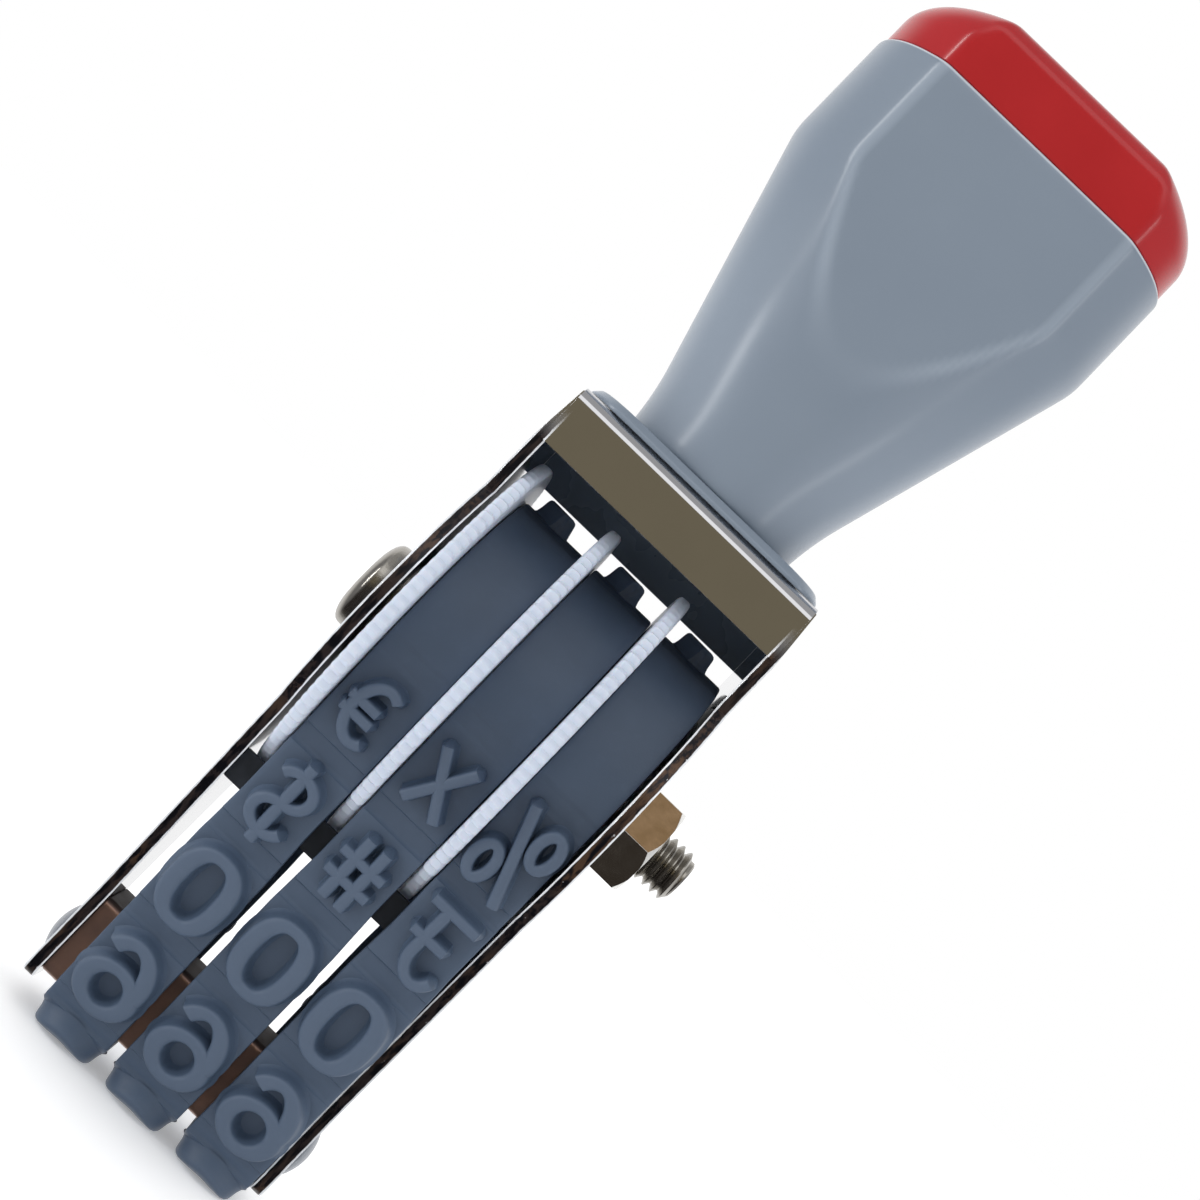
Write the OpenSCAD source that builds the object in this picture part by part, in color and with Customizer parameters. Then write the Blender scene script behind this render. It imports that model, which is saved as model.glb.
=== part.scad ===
// Three-band hand numbering stamp, standing on its printing face.
// Millimetres. X runs along the printed line, the front faces -Y, Z is up.
// The origin is the middle of the printing face, between the two side plates.

/* [Printing line] */
// Height of the axle above the paper
axle_height = 36.8; // [35:0.2:39]
// Distance from one number wheel to the next
wheel_pitch = 6.6; // [6.2:0.1:7.4]
// Height that the characters stand out of the band
relief_h = 1.4; // [1:0.1:1.6]
// Height of one character
char_h = 6.2; // [5.4:0.1:6.4]
// Width of one character
char_w = 4.7; // [4:0.1:4.8]
// Stroke of a figure
figure_stroke = 1.15; // [0.8:0.05:1.2]
// Stroke of a currency or other sign
sign_stroke = 0.8; // [0.6:0.05:0.9]

/* [Bands] */
// Thickness of a band between its characters
band_t = 1.2; // [0.9:0.1:1.4]
// Space between a band and what it runs round
band_gap = 0.1; // [0.05:0.01:0.2]
// Space between the edge of a band and the discs beside it
band_side_gap = 0.1; // [0.05:0.01:0.2]
// Width of the groove between two characters
groove_w = 1.4; // [1:0.1:1.6]
// Depth of the groove between two characters
groove_d = 0.3; // [0.15:0.05:0.4]
// How far the bands have crept round towards the front
band_turn = 1.0; // [0:0.1:1.2]

/* [Wheels] */
// Radius of the drum that carries a band
drum_r = 10.2; // [9.6:0.1:10.6]
// Radius of the knurled thumb disc, over its teeth
disc_r = 14.3; // [13.9:0.1:14.8]
// Thickness of the thumb disc
disc_t = 1.05; // [0.8:0.05:1.2]
// Teeth round a thumb disc
knurl_count = 104; // [80:1:120]
// Depth of the knurl
knurl_d = 0.22; // [0.1:0.02:0.3]
// Wall of a wheel's rim and hub
wheel_wall = 1.5; // [1.2:0.1:1.8]
// Thickness of the ribs in a wheel
wheel_rib = 1.0; // [0.8:0.1:1.4]
// Ribs between hub and rim
rib_count = 6; // [4:1:8]

/* [Frame] */
// Thickness of the frame's sheet steel
sheet_t = 0.9; // [0.8:0.05:1]
// Outer radius of the frame's bends
bend_r = 1.2; // [1.1:0.1:1.5]
// Radius of the round bulge of a side plate at the axle
boss_r = 12.7; // [12.2:0.1:13.2]
// Half of the side plates' depth above the bulge
plate_half_d = 7.6; // [7.2:0.1:8]
// How far below the axle the side plates start to narrow
taper_top_drop = 9.1; // [8.6:0.1:9.8]
// How far below the axle the side plates stop narrowing
taper_end_drop = 27; // [25:0.5:28]
// Half of the side plates' depth at the foot
foot_half_d = 4.2; // [3.8:0.1:4.6]
// Rounding of the side plates' lower corners
foot_r = 1.5; // [1:0.1:2]
// Height of the side plates' lower end above the paper
foot_lift = 1.9; // [1.6:0.1:2.1]
// Space between the thumb discs and the top plate
head_room = 4.3; // [4:0.1:4.8]
// Half of the top plate's depth, over the flanges
top_half_d = 8.5; // [8.3:0.1:9]
// Height of the front flange
flange_h = 4.6; // [4:0.1:5]
// Height of the back flange
back_flange_h = 6.1; // [5.5:0.1:6.5]
// How much shorter than the frame the flanges are, each end
flange_inset = 0.5; // [0.4:0.1:0.8]
// How far the side plates lean in at the top, outside
shoulder_in = 0.4; // [0.2:0.05:0.5]
// Height over which the side plates lean in
shoulder_h = 5.0; // [4:0.5:6]

/* [Axle] */
// Radius of the axle screw
axle_r = 2.0; // [1.8:0.05:2.2]
// Length of the axle screw under its head
axle_len = 28.3; // [27.5:0.1:30]
// Pitch of the axle screw's thread
thread_pitch = 0.7; // [0.6:0.05:0.8]
// Radius of the axle screw's head
axle_head_r = 3.55; // [3.3:0.05:4]
// Height of the axle screw's head
axle_head_h = 2.1; // [1.8:0.1:2.4]
// Width of the axle nut across its flats
axle_nut_af = 7.0; // [6.8:0.1:7.4]
// Thickness of the axle nut
axle_nut_t = 3.2; // [2.8:0.1:3.4]
// Wall of the sleeve that the wheels run on
sleeve_wall = 0.75; // [0.6:0.05:0.9]
// Radius of the friction washer beside the first wheel
friction_washer_r = 5.2; // [4.6:0.1:6]
// Thickness of the friction washer
friction_washer_t = 0.35; // [0.3:0.01:0.5]

/* [Bridge] */
// Depth of the bridge that backs the printing line
bridge_depth = 7.0; // [6.6:0.1:7.4]
// Height of the bridge
bridge_h = 6.7; // [6:0.1:7]
// Rounding of the bridge's lower edges, which the bands run round
bridge_r = 1.0; // [0.8:0.1:1.2]
// Rounding of the bridge's upper edges
bridge_top_r = 0.6; // [0.3:0.1:0.8]
// Height of the rivets above the bridge's underside
rivet_lift = 2.6; // [2.5:0.1:3.2]
// Radius of a rivet's shank
rivet_r = 1.25; // [1:0.05:1.4]
// Radius of a rivet's head
rivet_head_r = 2.3; // [2:0.1:2.4]
// Height of a rivet's head
rivet_head_h = 0.75; // [0.6:0.05:0.9]
// Length of a rivet inside the bridge
rivet_bite = 3.5; // [3:0.1:4.5]

/* [Cross bar] */
// Least space between the bar and the bands in front of it
bar_band_gap = 0.28; // [0.2:0.02:0.5]
// Thickness of the bar
bar_t = 0.8; // [0.6:0.05:0.85]
// Height of the bar
bar_h = 2.4; // [2:0.1:2.6]
// Space between the bar and the thumb discs
bar_gap = 0.25; // [0.2:0.05:0.3]
// Height of the bar's tabs in the side plates
bar_tab_h = 1.6; // [1.2:0.1:1.8]

/* [Handle] */
// Thickness of the collar between handle and frame
collar_t = 0.8; // [0.7:0.1:1]
// Width of the collar
collar_w = 21.0; // [20:0.1:21.4]
// Depth of the collar
collar_d = 16.2; // [15.6:0.1:16.6]
// Rounding of the collar's corners seen from above
collar_r = 3.6; // [3:0.1:4]
// Bevel round the collar's top
collar_bevel = 0.5; // [0.3:0.1:0.5]
// Radius of the handle's foot on the collar
neck_foot_r = 7.35; // [7:0.05:7.5]
// Radius of the round neck
neck_r = 7.65; // [7.55:0.05:7.7]
// Height over which the foot flares to the neck
neck_flare_h = 3.0; // [2:0.1:4]
// Height over which the handle widens
taper_h = 20.0; // [18:0.5:22]
// Height of the handle's straight sides
grip_h = 8.6; // [7:0.1:10]
// Half of the grip's width
grip_half_w = 13.35; // [12.5:0.05:14]
// Half of the grip's depth before its flats are cut
grip_half_d = 10.2; // [9.6:0.1:10.8]
// Half of the distance between the front and back flats
flat_half_d = 7.8; // [7.7:0.05:8]
// Wall of the hollow grip
grip_wall = 2.2; // [1.8:0.1:2.6]
// Depth of solid plastic above the threaded insert
neck_floor = 2.5; // [2:0.1:4]

/* [Handle cap] */
// Height of the cap above the seam
cap_h = 5.6; // [4.8:0.1:6]
// How far the cap stands inside the grip at the seam
cap_inset = 0.25; // [0.2:0.05:0.5]
// Straight height of the cap's sides
cap_side_h = 2.0; // [1:0.1:2.4]
// Reach of the rounding at the cap's two ends
cap_end_r = 5.4; // [4.5:0.1:6.5]
// Reach of the rounding at the cap's front and back
cap_face_r = 1.6; // [1:0.1:2]
// Length of the cap's plug in the grip
plug_h = 4.0; // [3:0.1:5]
// Wall of the cap's plug
plug_wall = 1.6; // [1.3:0.1:2]
// Space round the plug
plug_gap = 0.1; // [0.05:0.01:0.2]

/* [Handle screw] */
// Radius of the handle screw
screw_r = 2.0; // [1.8:0.05:2.2]
// Length of the handle screw under its head
screw_len = 11.0; // [10:0.5:12]
// Radius of the handle screw's head
screw_head_r = 3.6; // [3.3:0.1:4]
// Height of the handle screw's head
screw_head_h = 1.5; // [1.3:0.1:1.6]
// Radius of the handle screw's washer
screw_washer_r = 4.4; // [4.2:0.1:5]
// Thickness of the handle screw's washer
screw_washer_t = 0.4; // [0.3:0.05:0.5]
// Radius of the threaded insert in the neck
insert_r = 3.4; // [3:0.1:3.8]
// Length of the threaded insert
insert_len = 9.5; // [9:0.5:11]
// Depth of the grip grooves round the insert
insert_groove = 0.4; // [0.2:0.1:0.6]

/* [Fits] */
// Running fit round the sleeve
running_fit = 0.05; // [0.03:0.01:0.08]
// Gap between two wheels
wheel_gap = 0.1; // [0.06:0.01:0.15]
// Gap between the last wheel and the side plate
end_gap = 0.15; // [0.1:0.01:0.2]
// Clearance round a screw in its hole
hole_clear = 0.15; // [0.1:0.01:0.25]
// Clearance of a pressed or threaded fit
tight_clear = 0.02; // [0.01:0.005:0.04]

/* [Hidden] */

$fn = 64;
// Overrun of every cut past the face that it opens
cut = 0.5;
// Points round the outline of the grip
grip_points = 56;
// Rings up the widening part of the handle
taper_rings = 10;
// The share of the widening part over which the handle keeps the depth of its neck
neck_share = 0.4;
// Rings over the rounding of the cap
cap_rings = 8;
// Points along a full turn of a character's stroke
arc_points = 20;
// Points over the dome of a rivet
dome_points = 6;
WHEELS = 3;
POSITIONS = 14;

// Depth of the thread, as a share of its pitch
thread_depth_shares = 0.6;
// One groove and the crest after it, as shares of the thread's depth and of its pitch
THREAD_SHARES = [[0, 0.38], [0, 0.5], [1, 0.88], [1, 1]];

// What each band carries, from the printing position up the front and down the back
BAND_LEFT = ["8", "9", "0", "$", "E", " ", " ", "1", "2", "3", "4", "5", "6", "7"];
BAND_MIDDLE = ["8", "9", "0", "#", "X", " ", " ", "1", "2", "3", "4", "5", "6", "7"];
BAND_RIGHT = ["8", "9", "0", "L", "%", " ", " ", "1", "2", "3", "4", "5", "6", "7"];
BANDS = [BAND_LEFT, BAND_MIDDLE, BAND_RIGHT];
SIGNS = ["$", "E", "#", "X", "L", "%"];

// Across the frame
inner_w = friction_washer_t + wheel_gap + WHEELS * wheel_pitch + end_gap;
inner_half = inner_w / 2;
outer_half = inner_half + sheet_t;
band_w = wheel_pitch - disc_t - 2 * band_side_gap;
drum_len = wheel_pitch - disc_t - wheel_gap;
function disc_x(i) = -inner_half + friction_washer_t + wheel_gap + i * wheel_pitch;
function band_x(i) = disc_x(i) + disc_t + band_side_gap;

// Up the object
bridge_z = relief_h + band_t + band_gap;
frame_under_z = axle_height + disc_r + head_room;
frame_top_z = frame_under_z + sheet_t;
neck_z = frame_top_z + collar_t;
taper_z = neck_z + neck_flare_h;
grip_z = taper_z + taper_h;
seam_z = grip_z + grip_h;
cap_top_z = seam_z + cap_h;

// The loop of a band: its outer surface runs round a small arc at each lower edge of the
// bridge, a straight run on either side and a large arc over the drum
edge_y = bridge_depth / 2 - bridge_r;
edge_z = bridge_z + bridge_r;
loop_edge_r = bridge_r + band_gap + band_t;
loop_drum_r = drum_r + band_gap + band_t;
centre_gap = norm([edge_y, axle_height - edge_z]);
lean = asin((drum_r - bridge_r) / centre_gap) - atan(edge_y / (axle_height - edge_z));
run_len = sqrt(pow(centre_gap, 2) - pow(drum_r - bridge_r, 2));
edge_turn = 90 - lean;
edge_end = edge_y + loop_edge_r * edge_turn * PI / 180;
run_end = edge_end + run_len;
half_loop = run_end + loop_drum_r * (180 - edge_turn) * PI / 180;
char_step = 2 * half_loop / POSITIONS;

// Angle that the loop has turned through, at a distance from the printing position
function turn_front(s) =
    s <= edge_y ? 0
    : s <= edge_end ? (s - edge_y) / loop_edge_r * 180 / PI
    : s <= run_end ? edge_turn
    : edge_turn + (s - run_end) / loop_drum_r * 180 / PI;
// Place on the loop's outer surface, as depth and height, on the front half
function place_front(s) =
    let (a = turn_front(s), out = [-sin(a), -cos(a)])
    s <= edge_y ? [-s, relief_h]
    : s <= edge_end ? [-edge_y, edge_z] + loop_edge_r * out
    : s <= run_end ? [-edge_y, edge_z] + loop_edge_r * out + (s - edge_end) * [-sin(lean), cos(lean)]
    : [0, axle_height] + loop_drum_r * out;
function loop_turn(s) = s <= half_loop ? turn_front(s) : 360 - turn_front(2 * half_loop - s);
function loop_place(s) =
    s <= half_loop ? place_front(s)
    : let (p = place_front(2 * half_loop - s)) [-p[0], p[1]];
function on_drum(s) = abs(half_loop - s) < half_loop - run_end;
// Depth of a band's inner surface on its straight run, at a height
function loop_inside(z) =
    let (r = bridge_r + band_gap)
    edge_y + r * cos(lean) + (z - edge_z + r * sin(lean)) * tan(lean);

// Characters, as strokes whose points are shares of half a character's width and height
function arc(c_shares, r_shares, a0, a1) =
    let (n = ceil(arc_points * abs(a1 - a0) / 360))
    [for (i = [0:n]) let (a = a0 + (a1 - a0) * i / n)
        [c_shares[0] + r_shares[0] * cos(a), c_shares[1] + r_shares[1] * sin(a)]];
bowl_shares = [1, 0.56];
low_bowl_shares = [0, -0.44];
high_bowl_shares = [0, 0.46];
small_bowl_shares = [0.88, 0.54];
tail_shares = [1, 0.95];
function six() = [
    arc(low_bowl_shares, bowl_shares, 0, 360),
    arc([0, 0.05], tail_shares, 200, 40)
];
function turned(strokes) = [for (s = strokes) [for (p = s) -p]];
function strokes_of(c) =
    c == "0" ? [arc([0, 0], [1, 1], 0, 360)]
    : c == "1" ? [[[0.2, -1.25], [0.2, 1.25]], [[0.3, 0.95], [-0.75, 0.45]]]
    : c == "2" ? [concat(arc([0, 0.42], [1, 0.58], 165, -25), [[-0.85, -0.95]]), [[-1.3, -1], [1.2, -1]]]
    : c == "3" ? [arc([0, 0.47], [0.85, 0.53], 155, -95), arc([0, -0.46], [1, 0.54], 95, -155)]
    : c == "4" ? [[[0.4, 1.15], [-0.95, -0.45]], [[-1.3, -0.45], [1.3, -0.45]], [[0.4, 1.25], [0.4, -1.25]]]
    : c == "5" ? [[[1.1, 1], [-0.95, 1]], [[-0.75, 1.2], [-0.75, -0.05]],
        arc([0, -0.36], [1, 0.64], 140, -150)]
    : c == "6" ? six()
    : c == "7" ? [[[-1.3, 1], [1.3, 1]], [[1.0, 1.05], [-0.3, -1.25]]]
    : c == "8" ? [arc(high_bowl_shares, small_bowl_shares, 0, 360),
        arc(low_bowl_shares, bowl_shares, 0, 360)]
    : c == "9" ? turned(six())
    : c == "$" ? [arc([0, 0.42], [0.85, 0.42], 25, 275), arc([0, -0.42], [0.85, 0.42], 95, -155),
        [[0, -1.15], [0, 1.15]]]
    : c == "E" ? [arc([0.2, 0], [0.95, 1], 55, 305), [[-1.1, 0.22], [0.5, 0.22]],
        [[-1.1, -0.22], [0.4, -0.22]]]
    : c == "L" ? [[[-1.1, -1], [1.1, -1]], concat([[-0.3, -1.05]], arc([0.4, 0.35], [0.7, 0.65], 180, 30)),
        [[-0.9, -0.1], [0.65, -0.1]]]
    : c == "#" ? [[[-0.38, -1.1], [-0.38, 1.1]], [[0.42, -1.1], [0.42, 1.1]],
        [[-1.1, -0.36], [1.1, -0.36]], [[-1.1, 0.36], [1.1, 0.36]]]
    : c == "X" ? [[[-0.85, -1.05], [0.85, 1.05]], [[-0.85, 1.05], [0.85, -1.05]]]
    : c == "%" ? [[[-0.6, -1.1], [0.6, 1.1]], arc([-0.65, 0.5], [0.35, 0.42], 0, 360),
        arc([0.65, -0.5], [0.35, 0.42], 0, 360)]
    : [];

// Unit normal of a line of points at one of them
function line_normal(pts, i, closed) =
    let (n = len(pts),
        a = pts[i > 0 ? i - 1 : closed ? n - 2 : 0],
        b = pts[i < n - 1 ? i + 1 : closed ? 1 : n - 1],
        d = (b - a) / norm(b - a))
    [-d[1], d[0]];
function offset_line(pts, w, closed) =
    [for (i = [0:len(pts) - 1]) pts[i] + w * line_normal(pts, i, closed)];
function reversed(list) = [for (i = [len(list) - 1:-1:0]) list[i]];

// One stroke of a character: a ring where its ends meet, and otherwise a ribbon
module stroke(pts, w) {
    closed = norm(pts[0] - pts[len(pts) - 1]) < tight_clear;
    left = offset_line(pts, w / 2, closed);
    right = offset_line(pts, -w / 2, closed);
    if (closed) {
        difference() {
            polygon(right);
            polygon(left);
        }
    } else {
        polygon(concat(left, reversed(right)));
    }
}

function is_sign(c) = len([for (s = SIGNS) if (s == c) s]) > 0;

// A character seen as it prints
module character(c) {
    w = is_sign(c) ? sign_stroke : figure_stroke;
    half = [(char_w - w) / 2, (char_h - w) / 2];
    for (s = strokes_of(c)) {
        stroke([for (p = s) [p[0] * half[0], p[1] * half[1]]], w);
    }
}

// Puts the paper's plane, with what stands below it, on the loop at a distance s
module on_loop(s) {
    p = loop_place(s);
    translate([0, p[0], p[1]]) rotate([-loop_turn(s), 0, 0]) children();
}

// The outline of a loop, at a distance inside the band's outer surface
module loop_outline(inside) {
    edge = loop_edge_r - inside;
    drum = loop_drum_r - inside;
    side = [cos(lean), -sin(lean)];
    foot = [edge_y, edge_z] + edge * side;
    shoulder = [0, axle_height] + drum * side;
    low_z = edge_z - edge;
    translate([0, axle_height]) circle(r = drum);
    for (x = [-edge_y, edge_y]) {
        translate([x, edge_z]) circle(r = edge);
    }
    polygon([
        [-edge_y, low_z], [edge_y, low_z], [edge_y, edge_z], foot, shoulder, [0, axle_height],
        [-shoulder[0], shoulder[1]], [-foot[0], foot[1]], [-edge_y, edge_z]
    ]);
}

// Turns an outline drawn as depth and height into a slab along X, from x0 on
module slab(x0, length) {
    translate([x0, 0, 0]) rotate([90, 0, 90]) linear_extrude(length) children();
}

// A solid of revolution about X, from an outline drawn as radius and distance
module turned_on_x(x0) {
    translate([x0, 0, 0]) rotate([0, 90, 0]) rotate_extrude() children();
}

module rod_x(r, x0, x1) {
    translate([x0, 0, 0]) rotate([0, 90, 0]) cylinder(r = r, h = x1 - x0);
}

module at_axle() {
    translate([0, 0, axle_height]) children();
}

// Bands

module band_relief(c, s) {
    sink = 2 * band_t / 3;
    cap_r = loop_drum_r + relief_h;
    intersection() {
        on_loop(s) translate([0, 0, -relief_h]) linear_extrude(relief_h + sink) character(c);
        if (on_drum(s)) {
            at_axle() rod_x(cap_r, -char_w, char_w);
        } else {
            on_loop(s) cube([2 * char_w, 2 * char_h, 4 * relief_h], center = true);
        }
    }
}

module band(i) {
    chars = BANDS[i];
    mid_x = band_x(i) + band_w / 2;
    color([0.29, 0.34, 0.41]) {
        difference() {
            slab(band_x(i), band_w) difference() {
                loop_outline(0);
                loop_outline(band_t);
            }
            for (k = [0:POSITIONS - 1]) {
                next = (k + 1) % POSITIONS;
                if (chars[k] != " " || chars[next] != " ") {
                    translate([mid_x, 0, 0]) on_loop((k + 0.5) * char_step + band_turn)
                        cube([band_w + 2 * cut, groove_w, 2 * groove_d], center = true);
                }
            }
        }
        for (k = [0:POSITIONS - 1]) {
            if (chars[k] != " ") {
                translate([mid_x, 0, 0]) band_relief(chars[k], k * char_step + band_turn);
            }
        }
    }
}

// Wheels

module knurl_outline() {
    root_r = disc_r - knurl_d;
    polygon([for (k = [0:2 * knurl_count - 1])
        let (r = k % 2 == 0 ? disc_r : root_r, a = 180 * k / knurl_count)
        [r * cos(a), r * sin(a)]]);
}

module wheel(i) {
    x0 = disc_x(i);
    mid_disc_x = x0 + disc_t / 2;
    x2 = x0 + disc_t + drum_len;
    bore_r = sleeve_r + running_fit;
    hub_r = bore_r + wheel_wall;
    rim_r = drum_r - wheel_wall;
    color([0.93, 0.94, 0.96]) at_axle() difference() {
        union() {
            slab(x0, disc_t) knurl_outline();
            ring_x(drum_r, rim_r, mid_disc_x, x2);
            rod_x(hub_r, mid_disc_x, x2);
            for (k = [0:rib_count - 1]) {
                rotate([360 * k / rib_count, 0, 0])
                    translate([mid_disc_x, -wheel_rib / 2, hub_r - wheel_wall / 2])
                    cube([drum_len, wheel_rib, rim_r - hub_r + wheel_wall]);
            }
        }
        rod_x(bore_r, x0 - cut, x2 + cut);
    }
}

// Frame

module side_outline() {
    waist = sqrt(pow(boss_r, 2) - pow(taper_top_drop, 2));
    waist_z = axle_height - taper_top_drop;
    ankle_z = axle_height - taper_end_drop;
    foot_z = foot_lift + foot_r;
    translate([0, axle_height]) circle(r = boss_r);
    translate([-plate_half_d, axle_height]) square([2 * plate_half_d, frame_top_z - axle_height]);
    polygon([
        [-foot_half_d, foot_z], [foot_half_d, foot_z], [foot_half_d, ankle_z], [waist, waist_z],
        [0, axle_height], [-waist, waist_z], [-foot_half_d, ankle_z]
    ]);
    for (y = [foot_r - foot_half_d, foot_half_d - foot_r]) {
        translate([y, foot_z]) circle(r = foot_r);
    }
    translate([foot_r - foot_half_d, foot_lift]) square([2 * (foot_half_d - foot_r), foot_r]);
}

// A rectangle standing on z0 whose two upper corners are round
module arch_outline(half, z0, z1, r) {
    translate([-half, z0]) square([2 * half, z1 - r - z0]);
    translate([r - half, z0]) square([2 * (half - r), z1 - z0]);
    for (x = [r - half, half - r]) {
        translate([x, z1 - r]) circle(r = r);
    }
}

// The frame's outside from the front, drawn in a little at its shoulders
module outside_outline() {
    intersection() {
        arch_outline(outer_half, 0, frame_top_z, bend_r);
        polygon([
            [-outer_half, 0], [outer_half, 0], [outer_half, frame_top_z - shoulder_h],
            [outer_half - shoulder_in, frame_top_z], [shoulder_in - outer_half, frame_top_z],
            [-outer_half, frame_top_z - shoulder_h]
        ]);
    }
}

module flange_outline() {
    back_z = frame_top_z - back_flange_h;
    intersection() {
        union() {
            translate([-top_half_d, frame_top_z - flange_h]) square([sheet_t, flange_h]);
            translate([-top_half_d, frame_under_z]) square([2 * top_half_d, sheet_t]);
            translate([top_half_d - sheet_t, back_z]) square([sheet_t, back_flange_h]);
        }
        arch_outline(top_half_d, back_z - cut, frame_top_z, bend_r);
    }
}

// The cross bar stands just outside the thumb discs and just inside the bands
bar_lowest_z = axle_height - disc_r - bar_gap - bar_h;
bar_back_y = bar_band_gap - loop_inside(bar_lowest_z) + bar_t;
bar_top_z = axle_height - sqrt(pow(disc_r + bar_gap, 2) - pow(bar_back_y, 2));

module bar_tabs(side_gap) {
    tab_z = bar_top_z - bar_h / 2;
    for (side = [-1, 1]) {
        translate([side * (inner_half + sheet_t / 2), bar_back_y - bar_t / 2, tab_z])
            cube([sheet_t + side_gap, bar_t, bar_tab_h], center = true);
    }
}

module frame() {
    reach = boss_r + cut;
    color([0.78, 0.79, 0.81]) difference() {
        union() {
            intersection() {
                translate([0, reach, 0]) rotate([90, 0, 0]) linear_extrude(2 * reach) difference() {
                    outside_outline();
                    arch_outline(inner_half, -cut, frame_under_z, bend_r - sheet_t);
                }
                slab(-outer_half - cut, 2 * (outer_half + cut)) side_outline();
            }
            slab(flange_inset - outer_half, 2 * (outer_half - flange_inset)) flange_outline();
        }
        at_axle() rod_x(axle_r + hole_clear, -outer_half - cut, outer_half + cut);
        translate([0, 0, bridge_z + rivet_lift])
            rod_x(rivet_r + tight_clear, -outer_half - cut, outer_half + cut);
        cylinder(r = screw_r + hole_clear, h = frame_top_z + cut);
        bar_tabs(cut);
    }
}

module cross_bar() {
    color([0.25, 0.27, 0.3]) {
        translate([-inner_half, bar_back_y - bar_t, bar_top_z - bar_h]) cube([inner_w, bar_t, bar_h]);
        bar_tabs(0);
    }
}

// Axle

sleeve_r = axle_r + hole_clear + sleeve_wall;
nut_end_x = outer_half + axle_nut_t;

// The rounded side of a pan head, as radius and height above its flat underside
function pan_curve(r, h) =
    let (flat_shares = 0.55, edge_shares = 0.35)
    concat([[r, 0]], [for (a = [0:15:90])
        [r * (flat_shares + (1 - flat_shares) * cos(a)), h * (edge_shares + (1 - edge_shares) * sin(a))]]);

module pan_outline(r, h) {
    polygon(concat([[0, 0]], pan_curve(r, h), [[0, h]]));
}

module cross_recess(r, depth) {
    arm = r / 4;
    for (a = [0, 90]) {
        rotate([0, 0, a]) cube([r, arm, 2 * depth], center = true);
    }
}

// The grooves and crests of a thread, as radius and distance from z0 on
function thread_curve(r_core, r_crest, z0, turns) =
    [for (k = [0:turns - 1]) for (p = THREAD_SHARES)
        [r_core + p[0] * (r_crest - r_core), z0 + (k + p[1]) * thread_pitch]];

module axle_screw() {
    core_r = axle_r - thread_depth_shares * thread_pitch;
    shank_len = nut_end_x + outer_half;
    turns = floor((axle_len - shank_len) / thread_pitch);
    head = reversed([for (p = pan_curve(axle_head_r, axle_head_h)) [p[0], -p[1]]]);
    color([0.72, 0.72, 0.7]) at_axle() difference() {
        turned_on_x(-outer_half) polygon(concat(
            [[0, -axle_head_h]], head, [[axle_r, 0], [axle_r, shank_len]],
            thread_curve(core_r, axle_r, shank_len, turns), [[core_r, axle_len], [0, axle_len]]
        ));
        translate([-outer_half - axle_head_h, 0, 0]) rotate([0, 90, 0])
            cross_recess(axle_head_r, axle_head_h / 2);
    }
}

module hex_outline(af) {
    circle(r = af / 2 / cos(30), $fn = 6);
}

module axle_nut() {
    corner_r = axle_nut_af / 2 / cos(30);
    bevel = corner_r - axle_nut_af / 2;
    color([0.7, 0.68, 0.62]) at_axle() difference() {
        intersection() {
            slab(outer_half, axle_nut_t) hex_outline(axle_nut_af);
            turned_on_x(outer_half) polygon([
                [0, 0], [corner_r, 0], [corner_r, axle_nut_t - bevel],
                [axle_nut_af / 2, axle_nut_t], [0, axle_nut_t]
            ]);
        }
        rod_x(axle_r + tight_clear, outer_half - cut, nut_end_x + cut);
    }
}

module ring_x(r_out, r_in, x0, x1) {
    difference() {
        rod_x(r_out, x0, x1);
        rod_x(r_in, x0 - cut, x1 + cut);
    }
}

module axle_sleeve() {
    color([0.6, 0.6, 0.6]) at_axle() ring_x(sleeve_r, axle_r + hole_clear, -inner_half, inner_half);
}

module friction_washer() {
    color([0.7, 0.7, 0.65]) at_axle()
        ring_x(friction_washer_r, sleeve_r + running_fit, -inner_half, friction_washer_t - inner_half);
}

// Bridge

module bridge_outline() {
    low_z = bridge_z;
    top_z = bridge_z + bridge_h;
    half = bridge_depth / 2;
    translate([-half, low_z + bridge_r]) square([2 * half, bridge_h - bridge_r - bridge_top_r]);
    translate([bridge_r - half, low_z]) square([2 * (half - bridge_r), bridge_r]);
    translate([bridge_top_r - half, top_z - bridge_top_r])
        square([2 * (half - bridge_top_r), bridge_top_r]);
    for (side = [-1, 1]) {
        translate([side * (half - bridge_r), low_z + bridge_r]) circle(r = bridge_r);
        translate([side * (half - bridge_top_r), top_z - bridge_top_r]) circle(r = bridge_top_r);
    }
}

module bridge() {
    color([0.45, 0.38, 0.33]) difference() {
        slab(-inner_half, inner_w) bridge_outline();
        translate([0, 0, bridge_z + rivet_lift]) {
            rod_x(rivet_r + tight_clear, -inner_half - cut, rivet_bite - inner_half);
            rod_x(rivet_r + tight_clear, inner_half - rivet_bite, inner_half + cut);
        }
    }
}

// A rivet on the right side plate; side is -1 for the left one
module rivet(side) {
    dome_r = (pow(rivet_head_r, 2) + pow(rivet_head_h, 2)) / (2 * rivet_head_h);
    dome_a = asin(rivet_head_r / dome_r);
    inner_end = inner_half - rivet_bite;
    color([0.8, 0.8, 0.82]) translate([0, 0, bridge_z + rivet_lift]) mirror([side < 0 ? 1 : 0, 0, 0]) {
        rod_x(rivet_r, inner_end, outer_half + tight_clear);
        turned_on_x(outer_half) polygon(concat([[0, 0]],
            [for (k = [0:dome_points]) let (a = dome_a * (1 - k / dome_points))
                [dome_r * sin(a), dome_r * cos(a) - dome_r + rivet_head_h]]));
    }
}

// Handle

// A ring of points round the handle
function ring(w, d, z) =
    [for (i = [0:grip_points - 1]) let (a = 360 * i / grip_points) [w * cos(a), d * sin(a), z]];

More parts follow.
